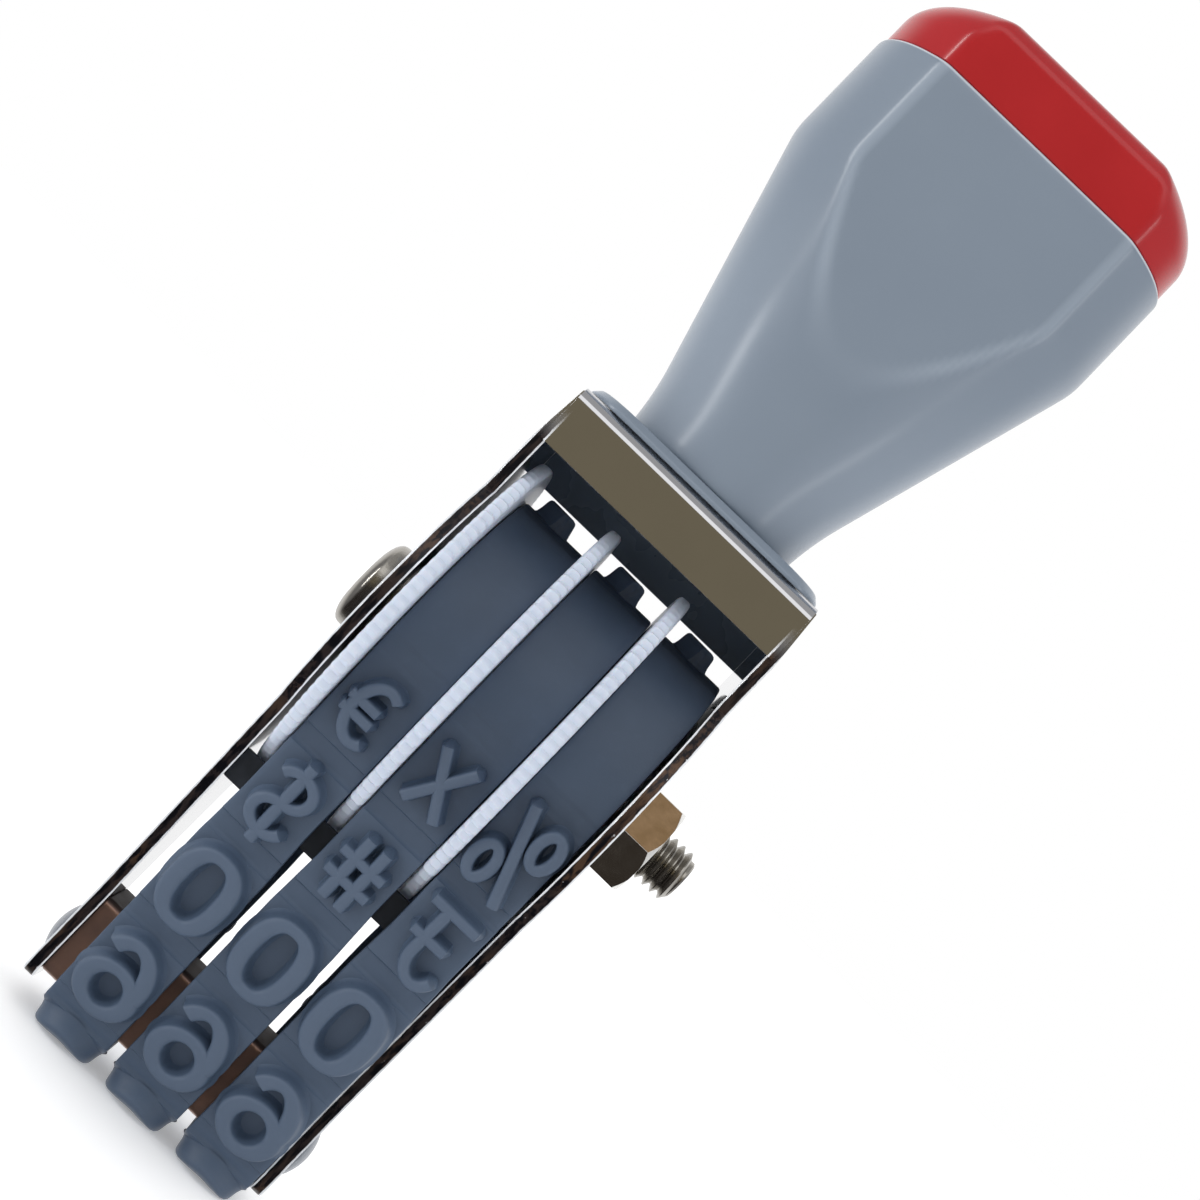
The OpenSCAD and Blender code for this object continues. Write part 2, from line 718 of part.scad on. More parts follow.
// A closed skin over rings of points, from the lowest ring up
module loft(rings) {
    n = len(rings[0]);
    top = (len(rings) - 1) * n;
    walls = [for (j = [0:len(rings) - 2]) for (i = [0:n - 1])
        let (a = j * n + i, b = j * n + (i + 1) % n)
        each [[a, a + n, b + n], [a, b + n, b]]];
    polyhedron([for (r = rings) each r],
        concat([[for (i = [0:n - 1]) i]], walls, [[for (i = [n - 1:-1:0]) top + i]]));
}

// The rings of the handle, drawn in by a wall
function grip_rings(wall) = concat(
    [for (k = [0:taper_rings])
        let (t = k / taper_rings, deep = max(0, (t - neck_share) / (1 - neck_share)))
        ring(neck_r - wall + t * (grip_half_w - neck_r), neck_r - wall + deep * (grip_half_d - neck_r),
            taper_z + t * taper_h)],
    [ring(grip_half_w - wall, grip_half_d - wall, seam_z)]
);

// What lies between the front and back flats, drawn in by a wall
module between_flats(wall) {
    half = flat_half_d - wall;
    translate([-2 * grip_half_w, -half, 0]) cube([4 * grip_half_w, 2 * half, 2 * cap_top_z]);
}

module handle_body() {
    hollow_z = neck_z + insert_len + neck_floor;
    color([0.5, 0.55, 0.6]) difference() {
        intersection() {
            loft(concat([ring(neck_foot_r, neck_foot_r, neck_z)], grip_rings(0)));
            between_flats(0);
        }
        intersection() {
            loft(concat(grip_rings(grip_wall),
                [ring(grip_half_w - grip_wall, grip_half_d - grip_wall, seam_z + cut)]));
            between_flats(grip_wall);
            translate([-grip_half_w, -grip_half_d, hollow_z])
                cube([2 * grip_half_w, 2 * grip_half_d, seam_z + cut - hollow_z]);
        }
        translate([0, 0, neck_z - cut]) cylinder(r = insert_r + tight_clear, h = insert_len + cut);
    }
}

module cap_plug(wall) {
    linear_extrude(plug_h) intersection() {
        polygon([for (p = ring(grip_half_w - grip_wall - wall, grip_half_d - grip_wall - wall, 0))
            [p[0], p[1]]]);
        square([2 * grip_half_w, 2 * (flat_half_d - grip_wall - wall)], center = true);
    }
}

module handle_cap() {
    half_w = grip_half_w - cap_inset;
    half_d = grip_half_d - cap_inset;
    half_flat = flat_half_d - cap_inset;
    rise = cap_h - cap_side_h;
    rings = concat(
        [ring(half_w, half_d, seam_z)],
        [for (k = [0:cap_rings]) let (a = 90 * k / cap_rings, in = 1 - cos(a))
            ring(half_w - cap_end_r * in, half_d, seam_z + cap_side_h + rise * sin(a))]
    );
    color([0.78, 0.12, 0.14]) {
        intersection() {
            loft(rings);
            slab(-half_w - cut, 2 * (half_w + cut))
                arch_outline(half_flat, seam_z - cut, cap_top_z, cap_face_r);
        }
        difference() {
            translate([0, 0, seam_z - plug_h + tight_clear]) cap_plug(plug_gap);
            translate([0, 0, seam_z - plug_h - cut]) cap_plug(plug_gap + plug_wall);
        }
    }
}

// The collar's outline, drawn in all round by an inset
module collar_outline(inset) {
    r = collar_r - inset;
    x = collar_w / 2 - collar_r;
    y = collar_d / 2 - collar_r;
    square([collar_w - 2 * inset, 2 * y], center = true);
    square([2 * x, collar_d - 2 * inset], center = true);
    for (sx = [-1, 1]) {
        for (sy = [-1, 1]) {
            translate([sx * x, sy * y]) circle(r = r);
        }
    }
}

module handle_collar() {
    color([0.48, 0.53, 0.58]) difference() {
        translate([0, 0, frame_top_z]) hull() {
            linear_extrude(collar_t - collar_bevel) collar_outline(0, $fn = 32);
            linear_extrude(collar_t) collar_outline(collar_bevel, $fn = 32);
        }
        translate([0, 0, frame_top_z - cut])
            cylinder(r = screw_r + hole_clear, h = collar_t + 2 * cut);
    }
}

module handle_insert() {
    rings = 3;
    step = insert_len / (2 * rings + 1);
    color([0.78, 0.65, 0.3]) translate([0, 0, neck_z]) difference() {
        cylinder(r = insert_r, h = insert_len);
        for (k = [0:rings - 1]) {
            translate([0, 0, (2 * k + 1) * step]) difference() {
                cylinder(r = insert_r + cut, h = step);
                translate([0, 0, -cut]) cylinder(r = insert_r - insert_groove, h = step + 2 * cut);
            }
        }
        translate([0, 0, -cut]) cylinder(r = screw_r + tight_clear, h = insert_len + 2 * cut);
    }
}

module handle_screw() {
    seat_z = frame_under_z - screw_washer_t;
    color([0.72, 0.72, 0.7]) {
        difference() {
            translate([0, 0, seat_z]) mirror([0, 0, 1])
                rotate_extrude() pan_outline(screw_head_r, screw_head_h);
            translate([0, 0, seat_z - screw_head_h]) cross_recess(screw_head_r, screw_head_h / 2);
        }
        translate([0, 0, seat_z - tight_clear]) cylinder(r = screw_r, h = screw_len + tight_clear);
    }
}

module handle_washer() {
    color([0.7, 0.7, 0.65]) translate([0, 0, frame_under_z - screw_washer_t]) difference() {
        cylinder(r = screw_washer_r, h = screw_washer_t);
        translate([0, 0, -cut]) cylinder(r = screw_r + hole_clear, h = screw_washer_t + 2 * cut);
    }
}

handle_body();
handle_cap();
handle_collar();
handle_insert();
handle_screw();
handle_washer();
frame();
axle_screw();
axle_nut();
axle_sleeve();
friction_washer();
wheel(0);  // wheel_left
wheel(1);  // wheel_middle
wheel(2);  // wheel_right
band(0);  // band_left
band(1);  // band_middle
band(2);  // band_right
bridge();
rivet(-1);  // rivet_left
rivet(1);  // rivet_right
cross_bar();
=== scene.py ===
# %% [markdown]
# # A hand stamp with three number bands
#
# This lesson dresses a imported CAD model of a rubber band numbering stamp. The CAD model gives
# every size and every joint. Here each piece gets its finished shape and its material.
#
# The stamp stands on its printing face: X runs along the printed line, the front faces -Y
# and Z is up. Blender works in metres, so sizes in millimetres are multiplied by MM.

import math

import bpy
from mathutils import Matrix, Vector


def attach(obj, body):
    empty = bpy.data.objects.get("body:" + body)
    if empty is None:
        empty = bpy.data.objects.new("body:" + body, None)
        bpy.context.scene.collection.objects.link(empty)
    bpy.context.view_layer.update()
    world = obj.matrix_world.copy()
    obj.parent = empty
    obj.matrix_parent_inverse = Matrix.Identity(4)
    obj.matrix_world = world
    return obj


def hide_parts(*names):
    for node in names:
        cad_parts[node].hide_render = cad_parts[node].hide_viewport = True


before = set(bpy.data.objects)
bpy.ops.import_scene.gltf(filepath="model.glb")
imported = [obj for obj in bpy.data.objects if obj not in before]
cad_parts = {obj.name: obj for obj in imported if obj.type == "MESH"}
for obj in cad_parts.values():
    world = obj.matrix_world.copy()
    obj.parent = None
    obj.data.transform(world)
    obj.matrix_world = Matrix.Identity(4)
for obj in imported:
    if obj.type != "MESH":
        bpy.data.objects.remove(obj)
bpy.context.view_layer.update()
MM = 0.001

# %% [markdown]
# ## The camera
#
# The photograph was taken from the front with the stamp lying at a slant across the picture.
# The stamp stays upright here, and the camera is rolled instead. Its place, its two small
# tilts and its lens were fitted to edges measured in the photograph.

# %% Camera
PHOTO_TURN = math.radians(43.5)
CAMERA_MM = (0.97, -161.8, 41.8)
CAMERA_YAW, CAMERA_PITCH, CAMERA_ROLL = 0.0081, 0.0319, -0.0091
LENS = 69.96

level = (Matrix.Rotation(CAMERA_YAW, 3, "Z") @ Matrix.Rotation(CAMERA_PITCH, 3, "X")
         @ Matrix.Rotation(CAMERA_ROLL, 3, "Y"))
rightward, forward, upward = (level.col[i] for i in range(3))
right = math.cos(PHOTO_TURN) * rightward + math.sin(PHOTO_TURN) * upward
up = math.cos(PHOTO_TURN) * upward - math.sin(PHOTO_TURN) * rightward

bpy.ops.object.select_all(action="DESELECT")
bpy.ops.object.camera_add()
camera = bpy.context.object
camera.name = "camera"
camera.data.lens = LENS
camera.data.clip_start = 0.01
camera.matrix_world = Matrix.Translation(Vector(CAMERA_MM) * MM) @ Matrix(
    (right, up, -forward)).transposed().to_4x4()
bpy.context.scene.camera = camera
print("camera at", [round(c, 4) for c in camera.location])

# %% [markdown]
# ## Sizes that several pieces share
#
# These are the CAD model's own sizes in millimetres. A piece that replaces a CAD solid has to
# fill the same space, so it is drawn from the same numbers.

# %% Shared sizes
AXLE_Z = 36.8
PITCH = 6.6
RELIEF = 1.4
BAND_T, BAND_GAP, BAND_W = 1.2, 0.1, 5.35
DRUM_R, DISC_R, DISC_T = 10.2, 14.3, 1.05
BRIDGE_R, BRIDGE_HALF, BRIDGE_Z = 1.0, 3.5, 2.7
INNER_HALF, OUTER_HALF = 10.2, 11.1
FRAME_TOP, NECK_Z, TAPER_Z, GRIP_Z, SEAM_Z = 56.3, 57.1, 60.1, 80.1, 88.7
FIRST_DISC = -9.75
print("discs start at", [round(FIRST_DISC + i * PITCH, 2) for i in range(3)])

# %% [markdown]
# ## Helpers for modelling
#
# Blender's tools work on all that is selected, so everything is deselected before a piece is
# added, and a piece is selected alone before each step. Its place is moved into its mesh after
# it. When a skin is closed, points that meet are welded, open ends are filled and the faces are
# turned outwards.

# %% Adding, selecting, settling and closing
WELD = 0.0005 * MM


def pick(piece):
    bpy.ops.object.select_all(action="DESELECT")
    piece.select_set(True)
    bpy.context.view_layer.objects.active = piece


def settle(piece):
    """Moves a piece's place into its mesh, so that its object sits at the origin."""
    pick(piece)
    bpy.ops.object.transform_apply(location=True, rotation=True, scale=True)
    return piece


def added(name, operator, **values):
    """Adds a primitive or a light, and names it."""
    bpy.ops.object.select_all(action="DESELECT")
    operator(**values)
    piece = bpy.context.object
    piece.name = piece.data.name = name
    return piece


def duplicate(source, name):
    """A copy of a piece that has its own mesh."""
    piece = source.copy()
    piece.data = source.data.copy()
    piece.name = piece.data.name = name
    bpy.context.scene.collection.objects.link(piece)
    return piece


def edit_all(piece):
    pick(piece)
    bpy.ops.object.mode_set(mode="EDIT")
    bpy.ops.mesh.select_all(action="SELECT")


def close_skin(piece):
    edit_all(piece)
    bpy.ops.mesh.remove_doubles(threshold=WELD)
    bpy.ops.mesh.fill_holes(sides=0)
    bpy.ops.mesh.normals_make_consistent(inside=False)
    bpy.ops.object.mode_set(mode="OBJECT")
    return piece


# %% [markdown]
# Most of this stamp is turned or drawn: the handle, the cap, the screw, the rivets and the
# wheels all grow from a ring. One helper adds a circle, then extrudes it from ring to ring and
# stretches each new ring, which is what a modeller does by hand with E and S.

# %% Rings


def draw_rings(name, rings, points):
    """Extrudes a circle up through rings, each a height, a half width and a half depth."""
    z, w, d = rings[0]
    piece = added(name, bpy.ops.mesh.primitive_circle_add, vertices=points, radius=MM,
                  location=(0, 0, z * MM))
    edit_all(piece)
    bpy.ops.transform.resize(value=(w, d, 1), center_override=(0, 0, z * MM))
    for z1, w1, d1 in rings[1:]:
        bpy.ops.mesh.extrude_region_move(TRANSFORM_OT_translate={"value": (0, 0, (z1 - z) * MM)})
        bpy.ops.transform.resize(value=(w1 / w, d1 / d, 1), center_override=(0, 0, z1 * MM))
        z, w, d = z1, w1, d1
    bpy.ops.object.mode_set(mode="OBJECT")
    return settle(piece)


def turn_rings(name, profile, points, x=0.0, z=AXLE_Z):
    """A turned piece on the axle line: the profile's pairs are distance along X and radius."""
    piece = close_skin(draw_rings(name, [(a, r, r) for a, r in profile], points))
    return along_x(piece, x, z)


def along_x(piece, x, z):
    """Lays a piece that was drawn standing on Z along the X axis, at a distance and a height."""
    piece.rotation_euler = (0, math.pi / 2, 0)
    piece.location = (x * MM, 0, z * MM)
    return settle(piece)


# %% [markdown]
# Modifiers are applied as soon as they are added. Three recur: a bevel on the sharp edges,
# weighted normals, which keep the flat faces beside a bevel flat, and a boolean cut.

# %% Modifiers


def apply_modifier(piece, kind, **values):
    pick(piece)
    modifier = piece.modifiers.new(kind.lower(), kind)
    for key, value in values.items():
        setattr(modifier, key, value)
    bpy.ops.object.modifier_apply(modifier=modifier.name)


def round_edges(piece, width, segments, angle):
    apply_modifier(piece, "BEVEL", width=width * MM, segments=segments, limit_method="ANGLE",
                   angle_limit=math.radians(angle))


def smooth(piece, angle=30):
    pick(piece)
    bpy.ops.object.shade_smooth_by_angle(angle=math.radians(angle))


def smooth_flat(piece, angle=35):
    """Smooths the bevels, and keeps the large flat faces beside them truly flat."""
    smooth(piece, angle)
    apply_modifier(piece, "WEIGHTED_NORMAL", keep_sharp=True, weight=80)


def cut(piece, cutter, operation="DIFFERENCE"):
    apply_modifier(piece, "BOOLEAN", operation=operation, object=cutter, solver="EXACT")
    bpy.data.objects.remove(cutter)


# %% [markdown]
# Parts of a piece are joined into one mesh. A finished piece rides on its body and takes the place
# of its CAD node.

# %% Joining, blocks and taking a node's place


def join(piece, *others):
    pick(piece)
    for other in others:
        other.select_set(True)
    bpy.ops.object.join()
    return piece


def block(name, low, high):
    """A box between two corners in mm."""
    size = [(b - a) * MM for a, b in zip(low, high)]
    middle = [(a + b) / 2 * MM for a, b in zip(low, high)]
    piece = added(name, bpy.ops.mesh.primitive_cube_add, size=1, location=middle)
    piece.scale = size
    return settle(piece)


def stand_for(piece, node, body="stamp"):
    """Hides a CAD node, and lets the new piece take its place and ride on its body."""
    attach(piece, body)
    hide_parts(node)
    print(f"{piece.name}: {len(piece.data.polygons)} faces, stands for {node}")


# %% [markdown]
# ## Helpers for materials
#
# A material here is a sum written in Python. Paint wraps a node socket and gives it +, - and *,
# so `1 - mask` adds the Math node that does it.

# %% Sums of sockets
class Paint:
    """A socket that can be used in a sum."""

    def __init__(self, tree, socket):
        self.tree, self.socket = tree, socket

    def sum(self, operation, first, second):
        node = self.tree.nodes.new("ShaderNodeMath")
        node.operation = operation
        for place, value in zip(node.inputs, (first, second)):
            feed(self.tree, place, value)
        return Paint(self.tree, node.outputs[0])

    def __add__(self, other):
        return self.sum("ADD", self, other)

    def __radd__(self, other):
        return self.sum("ADD", other, self)

    def __sub__(self, other):
        return self.sum("SUBTRACT", self, other)

    def __rsub__(self, other):
        return self.sum("SUBTRACT", other, self)

    def __mul__(self, other):
        return self.sum("MULTIPLY", self, other)

    def __rmul__(self, other):
        return self.sum("MULTIPLY", other, self)

    def __abs__(self):
        return self.sum("ABSOLUTE", self, 0.0)


def feed(tree, place, value):
    """Links a Paint to a socket, or sets the socket to a number or a colour."""
    if isinstance(value, Paint):
        tree.links.new(value.socket, place)
    elif isinstance(value, (tuple, list)) and len(value) == 3 and place.type == "RGBA":
        place.default_value = (*value, 1.0)
    else:
        place.default_value = value


# %% [markdown]
# Any other node is added by one function, which sets its properties, feeds its sockets and
# hands back one of its outputs.

# %% Nodes


def make_node(tree, kind, settings, sockets, out=0):
    node = tree.nodes.new(kind)
    for key, value in (settings or {}).items():
        setattr(node, key, value)
    for key, value in (sockets or {}).items():
        feed(tree, node.inputs[key], value)
    return Paint(tree, node.outputs[out])


def smooth_step(tree, value, low, high):
    """0 below low, 1 above high and smooth between them."""
    return make_node(tree, "ShaderNodeMapRange", {"interpolation_type": "SMOOTHSTEP"},
                     {"Value": value, "From Min": low, "From Max": high})


def mix_colours(tree, share, first, second):
    node = tree.nodes.new("ShaderNodeMix")
    node.data_type = "RGBA"
    feed(tree, node.inputs["Factor"], share)
    colours = [place for place in node.inputs if place.type == "RGBA"]
    for place, colour in zip(colours, (first, second)):
        feed(tree, place, colour)
    return Paint(tree, next(place for place in node.outputs if place.type == "RGBA"))


def linear(hexcode):
    """The linear colour of a screen colour such as 808C98."""
    parts = [int(hexcode[i:i + 2], 16) / 255 for i in (0, 2, 4)]
    return tuple(c / 12.92 if c <= 0.04045 else ((c + 0.055) / 1.055) ** 2.4 for c in parts)


# %% [markdown]
# Finish starts a material with its constants set on the shader's own sockets. Its methods add
# the noise, the coordinates and the bump that the finishes below are made of.

# %% Finishes


class Finish:
    """A material: constants go straight to the shader's sockets, the rest through nodes."""

    def __init__(self, name, **constants):
        self.material = bpy.data.materials.new(name)
        self.material.use_nodes = True
        self.tree = self.material.node_tree
        self.shader = self.tree.nodes["Principled BSDF"]
        for key, value in constants.items():
            feed(self.tree, self.shader.inputs[key.replace("_", " ")], value)
        self.place = self.node("ShaderNodeTexCoord", out="Object")

    def node(self, kind, settings=None, sockets=None, out=0):
        return make_node(self.tree, kind, settings, sockets, out)

    def set(self, **values):
        for key, value in values.items():
            feed(self.tree, self.shader.inputs[key.replace("_", " ")], value)

    def noise(self, size, detail=3.0, stretch=(1, 1, 1)):
        """Cloudy noise from 0 to 1, whose blobs are about size mm across."""
        where = self.node("ShaderNodeMapping", None, {"Vector": self.place, "Scale": stretch})
        return self.node("ShaderNodeTexNoise", None,
                         {"Vector": where, "Scale": 1 / (size * MM), "Detail": detail})

    def axis(self, letter, vector=None):
        return self.node("ShaderNodeSeparateXYZ", None, {0: vector or self.place},
                         "XYZ".index(letter))

    def facing(self, letter):
        """How far the surface faces along an axis of the object."""
        normal = self.node("ShaderNodeNewGeometry", out="Normal")
        return self.axis(letter, normal)

    def step(self, value, low, high):
        return smooth_step(self.tree, value, low, high)

    def mix(self, share, first, second):
        return mix_colours(self.tree, share, first, second)

    def bump(self, height, depth):
        """A Bump node on the shader's Normal: height times depth in mm."""
        self.set(Normal=self.node("ShaderNodeBump", None,
                                  {"Height": height, "Distance": depth * MM}))

    def on(self, *pieces):
        for piece in pieces:
            piece.data.materials.clear()
            piece.data.materials.append(self.material)


# %% [markdown]
# ## Handle
#
# The handle is one grey moulding: a round neck that widens into an oval grip, cut off flat
# at the front and back. Where the flats meet the oval they leave the shield shape. It could be
# lofted from drawn sections, but its sections are all ovals, so a circle is extruded and
# stretched. The flats are then pressed in softly, which gives the crease its moulded radius.

# %% Handle
HANDLE_POINTS = 176
NECK_FOOT_R, NECK_R, GRIP_W, GRIP_D, FLAT = 7.35, 7.65, 13.35, 10.2, 7.8
WALL = 2.2
DEEPEN_Z = 68.1
HOLLOW_Z = 69.1
POCKET_R, POCKET_TOP = 3.42, 66.6
CREASE = 0.35
NECK_BEND, DEEP_BEND, GRIP_BEND = 2.0, 3.0, 0.8
GRIP_STEPS, HOLLOW_STEPS = 60, 10
GRIP_FOOT, GRIP_HEAD = 0.5, 0.4
FLARE = (NECK_R - NECK_FOOT_R) / (TAPER_Z - NECK_Z)


def bend(t, radius):
    """0 before a corner, t after it, and a smooth curve within the radius of it."""
    if t <= -radius:
        return 0.0
    return t if t >= radius else (t + radius) ** 2 / (4 * radius)


def grip_half_width(z):
    slope = (GRIP_W - NECK_R) / (GRIP_Z - TAPER_Z)
    return (NECK_R + FLARE * (z - TAPER_Z) + (slope - FLARE) * bend(z - TAPER_Z, NECK_BEND)
            - slope * bend(z - GRIP_Z, GRIP_BEND))


def grip_half_depth(z):
    slope = (GRIP_D - NECK_R) / (GRIP_Z - DEEPEN_Z)
    return (NECK_R + FLARE * (z - TAPER_Z) - FLARE * bend(z - TAPER_Z, NECK_BEND)
            + slope * (bend(z - DEEPEN_Z, DEEP_BEND) - bend(z - GRIP_Z, GRIP_BEND)))


def grip_ring(z, wall=0.0):
    return (z, grip_half_width(z) - wall, grip_half_depth(z) - wall)


def soft_least(a, b, radius):
    """The lesser of two numbers, with a rounded corner where they meet."""
    h = min(max(0.5 + 0.5 * (b - a) / radius, 0.0), 1.0)
    return b * (1 - h) + a * h - radius * h * (1 - h)


def press_flats(piece, flats, points):
    """Limits each ring's depth to that ring's flat, and stores a share of painted highlight along
    the crease where they meet.
    """
    highlight_marks, soft = [], CREASE * MM
    depths = [max(v.co.y for v in piece.data.vertices[i:i + points])
              for i in range(0, len(piece.data.vertices), points)]
    for i, vertex in enumerate(piece.data.vertices):
        y, flat = vertex.co.y, flats[i // points] * MM
        # Each point gets a share of painted highlight along the crease, strongest where the crease
        # is sharp.
        sharp = min(max((depths[i // points] - flat) / MM, 0.0), 1.0)
        highlight_marks.append(sharp * max(0.0, 1 - ((abs(y) - flat) / soft) ** 2) ** 2)
        vertex.co.y = math.copysign(soft_least(abs(y), flat, soft), y)
    piece.data.attributes.new("crease_highlight", "FLOAT", "POINT").data.foreach_set("value", highlight_marks)


handle_rings, handle_flats = [], []


def add_ring(ring, wall):
    handle_rings.append(ring)
    handle_flats.append(FLAT - wall)


for z, r in ((POCKET_TOP, POCKET_R), (NECK_Z, POCKET_R), (NECK_Z, NECK_FOOT_R - 0.25),
             (NECK_Z + 0.08, NECK_FOOT_R - 0.1), (NECK_Z + 0.25, NECK_FOOT_R - 0.02)):
    add_ring((z, r, r), 0.0)
grip_height = SEAM_Z - NECK_Z - GRIP_FOOT - GRIP_HEAD
for k in range(GRIP_STEPS + 1):
    add_ring(grip_ring(NECK_Z + GRIP_FOOT + grip_height * k / GRIP_STEPS), 0.0)
for drop, wall in ((0.28, 0.02), (0.16, 0.07), (0.06, 0.16), (0.0, 0.3)):
    add_ring(grip_ring(SEAM_Z - drop, wall), wall)
for k in range(HOLLOW_STEPS + 1):
    add_ring(grip_ring(SEAM_Z - (SEAM_Z - HOLLOW_Z) * k / HOLLOW_STEPS, WALL), WALL)

handle = draw_rings("handle_moulding", handle_rings, HANDLE_POINTS)
press_flats(handle, handle_flats, HANDLE_POINTS)
close_skin(handle)
smooth(handle, 40)
stand_for(handle, "handle_body")

# %% [markdown]
# ## Cap
#
# The red cap closes the hollow grip. It stands a little inside the grip's rim, which leaves
# the fine seam, and a plug below it holds it. It is drawn like the handle, with the rounding
# of its two ends worked out as a quarter of an ellipse. Its front and back stay flat almost to
# the top, so each ring has its own flat, which draws in only over the last millimetre and a half.

# %% Cap
CAP_INSET, CAP_SIDE, CAP_TOP = 0.25, 2.0, 94.3
CAP_END, CAP_FACE, CAP_STEPS = 5.4, 1.6, 32
PLUG_H, PLUG_GAP, PLUG_WALL, PLUG_BEVEL = 3.98, 0.1, 1.6, 0.2

cap_w, cap_d, cap_flat = GRIP_W - CAP_INSET, GRIP_D - CAP_INSET, FLAT - CAP_INSET
plug_out, plug_in = WALL + PLUG_GAP, WALL + PLUG_GAP + PLUG_WALL
plug_end = SEAM_Z - PLUG_H
cap_rings, cap_flats = [], []
for z, wall in ((SEAM_Z, plug_in), (plug_end + PLUG_BEVEL, plug_in),
                (plug_end, plug_in - PLUG_BEVEL), (plug_end, plug_out + PLUG_BEVEL),
                (plug_end + PLUG_BEVEL, plug_out), (SEAM_Z, plug_out),
                (SEAM_Z, CAP_INSET + 0.12), (SEAM_Z + 0.1, CAP_INSET),
                (SEAM_Z + CAP_SIDE / 2, CAP_INSET)):
    cap_rings.append((z, GRIP_W - wall, GRIP_D - wall))
    cap_flats.append(FLAT - wall)
rise = CAP_TOP - SEAM_Z - CAP_SIDE
for k in range(CAP_STEPS + 1):
    turn = math.radians(90 * k / CAP_STEPS)
    z = SEAM_Z + CAP_SIDE + rise * math.sin(turn)
    depth_in = max(0.0, z - CAP_TOP + CAP_FACE)
    cap_rings.append((z, cap_w - CAP_END * (1 - math.cos(turn)), cap_d))
    cap_flats.append(cap_flat - CAP_FACE + math.sqrt(max(0.0, CAP_FACE ** 2 - depth_in ** 2)))

cap = draw_rings("cap_moulding", cap_rings, HANDLE_POINTS)
press_flats(cap, cap_flats, HANDLE_POINTS)
close_skin(cap)
smooth(cap, 40)
stand_for(cap, "handle_cap")

# %% [markdown]
# ## Collar
#
# A grey plate with round corners and a bevelled top lies between the handle and the steel.
# A box with its upright edges bevelled round, and then its top edge bevelled flat, is all it
# needs.

# %% Collar
COLLAR_HALF_W, COLLAR_HALF_D, COLLAR_R, COLLAR_BEVEL = 10.5, 8.1, 3.6, 0.5
SCREW_HOLE_R = 2.15

collar = block("collar_plate", (-COLLAR_HALF_W, -COLLAR_HALF_D, FRAME_TOP),
               (COLLAR_HALF_W, COLLAR_HALF_D, NECK_Z))


def bevel_edges(piece, wanted, width, segments):
    """Bevels the edges that wanted picks by their two end points, in mm."""
    pick(piece)
    bpy.context.tool_settings.mesh_select_mode = (False, True, False)
    for part in (piece.data.vertices, piece.data.edges, piece.data.polygons):
        part.foreach_set("select", [False] * len(part))
    for edge in piece.data.edges:
        a, b = (piece.data.vertices[i].co / MM for i in edge.vertices)
        edge.select = wanted(a, b)
    bpy.ops.object.mode_set(mode="EDIT")
    bpy.ops.mesh.bevel(offset=width * MM, segments=segments, affect="EDGES")
    bpy.ops.object.mode_set(mode="OBJECT")
    bpy.context.tool_settings.mesh_select_mode = (True, False, False)


bevel_edges(collar, lambda a, b: abs(a.z - b.z) > 0.1, COLLAR_R, 12)
bevel_edges(collar, lambda a, b: min(a.z, b.z) > NECK_Z - 0.01, COLLAR_BEVEL, 1)
hole = [(z, SCREW_HOLE_R, SCREW_HOLE_R) for z in (FRAME_TOP - 1, NECK_Z + 1)]
cut(collar, close_skin(draw_rings("hole", hole, 48)))
round_edges(collar, 0.1, 3, 25)
smooth_flat(collar)
stand_for(collar, "handle_collar")

# %% [markdown]
# ## Frame
#
# The frame is one strip of plated sheet steel: bent, punched and left with crisp edges. The
# CAD solid has its exact outline, so a copy of that mesh is the best start. Its loose triangles
# are welded, flat faces are joined and the edges get a small bevel, because plated edges
# are never sharp and the bevel is what catches the light.

# %% Softened copies of CAD solids


def soften(node, name, width):
    piece = duplicate(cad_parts[node], name)
    for key in list(piece.keys()):
        del piece[key]
    piece.parent = None
    edit_all(piece)
    bpy.ops.mesh.remove_doubles(threshold=WELD)
    bpy.ops.mesh.dissolve_limited(angle_limit=math.radians(1.5))
    bpy.ops.object.mode_set(mode="OBJECT")
    round_edges(piece, width, 3, 28)
    smooth_flat(piece, 50)
    stand_for(piece, node)
    return piece


steel = soften("frame", "frame_sheet", 0.2)
bridge = soften("bridge", "bridge_block", 0.12)
bar = soften("cross_bar", "cross_bar_strip", 0.08)

# %% [markdown]
# ## Screw, nut and rivets
#
# The axle screw has a low round head with a cross recess, and a thread that stands out of the
# nut. The head and shank are turned, since every section of them is round, and the recess is
# cut in with two crossed blocks.

# %% Axle screw
HEAD_X, SCREW_END = -13.2, 17.2
AXLE_R, CORE_R, THREAD_PITCH = 2.0, 1.58, 0.7
CROSS_LONG, CROSS_SHORT, CROSS_DEPTH = 1.9, 0.42, 0.9
THREAD_START, THREAD_RUN_IN, POINT_LEN, POINT_DROP = 13.8, 0.2, 0.14, 0.16

screw = turn_rings("axle_screw_turned", [
    (-13.2, 2.2), (-13.18, 2.45), (-13.11, 2.75), (-13.0, 3.02), (-12.84, 3.28), (-12.66, 3.45),
    (-12.48, 3.53), (-12.3, 3.55), (-12.05, 3.55), (-11.9, 3.5), (-11.6, 3.4), (-11.18, 3.34),
    (-OUTER_HALF, 3.26), (-OUTER_HALF, AXLE_R), (THREAD_START, AXLE_R),
    (THREAD_START + THREAD_RUN_IN, CORE_R), (SCREW_END - POINT_LEN, CORE_R),
    (SCREW_END, CORE_R - POINT_DROP)], 96)
for half_y, half_z in ((CROSS_SHORT, CROSS_LONG), (CROSS_LONG, CROSS_SHORT)):
    cut(screw, block("cross", (HEAD_X - 1, -half_y, AXLE_Z - half_z),
                     (HEAD_X + CROSS_DEPTH, half_y, AXLE_Z + half_z)))
round_edges(screw, 0.05, 2, 50)

# %% [markdown]
# The thread is a small triangle swept along a helix by the Screw modifier. Rings would look
# right from the front, but a real thread climbs. Its last turn is drawn in like the chamfer of
# a real screw.

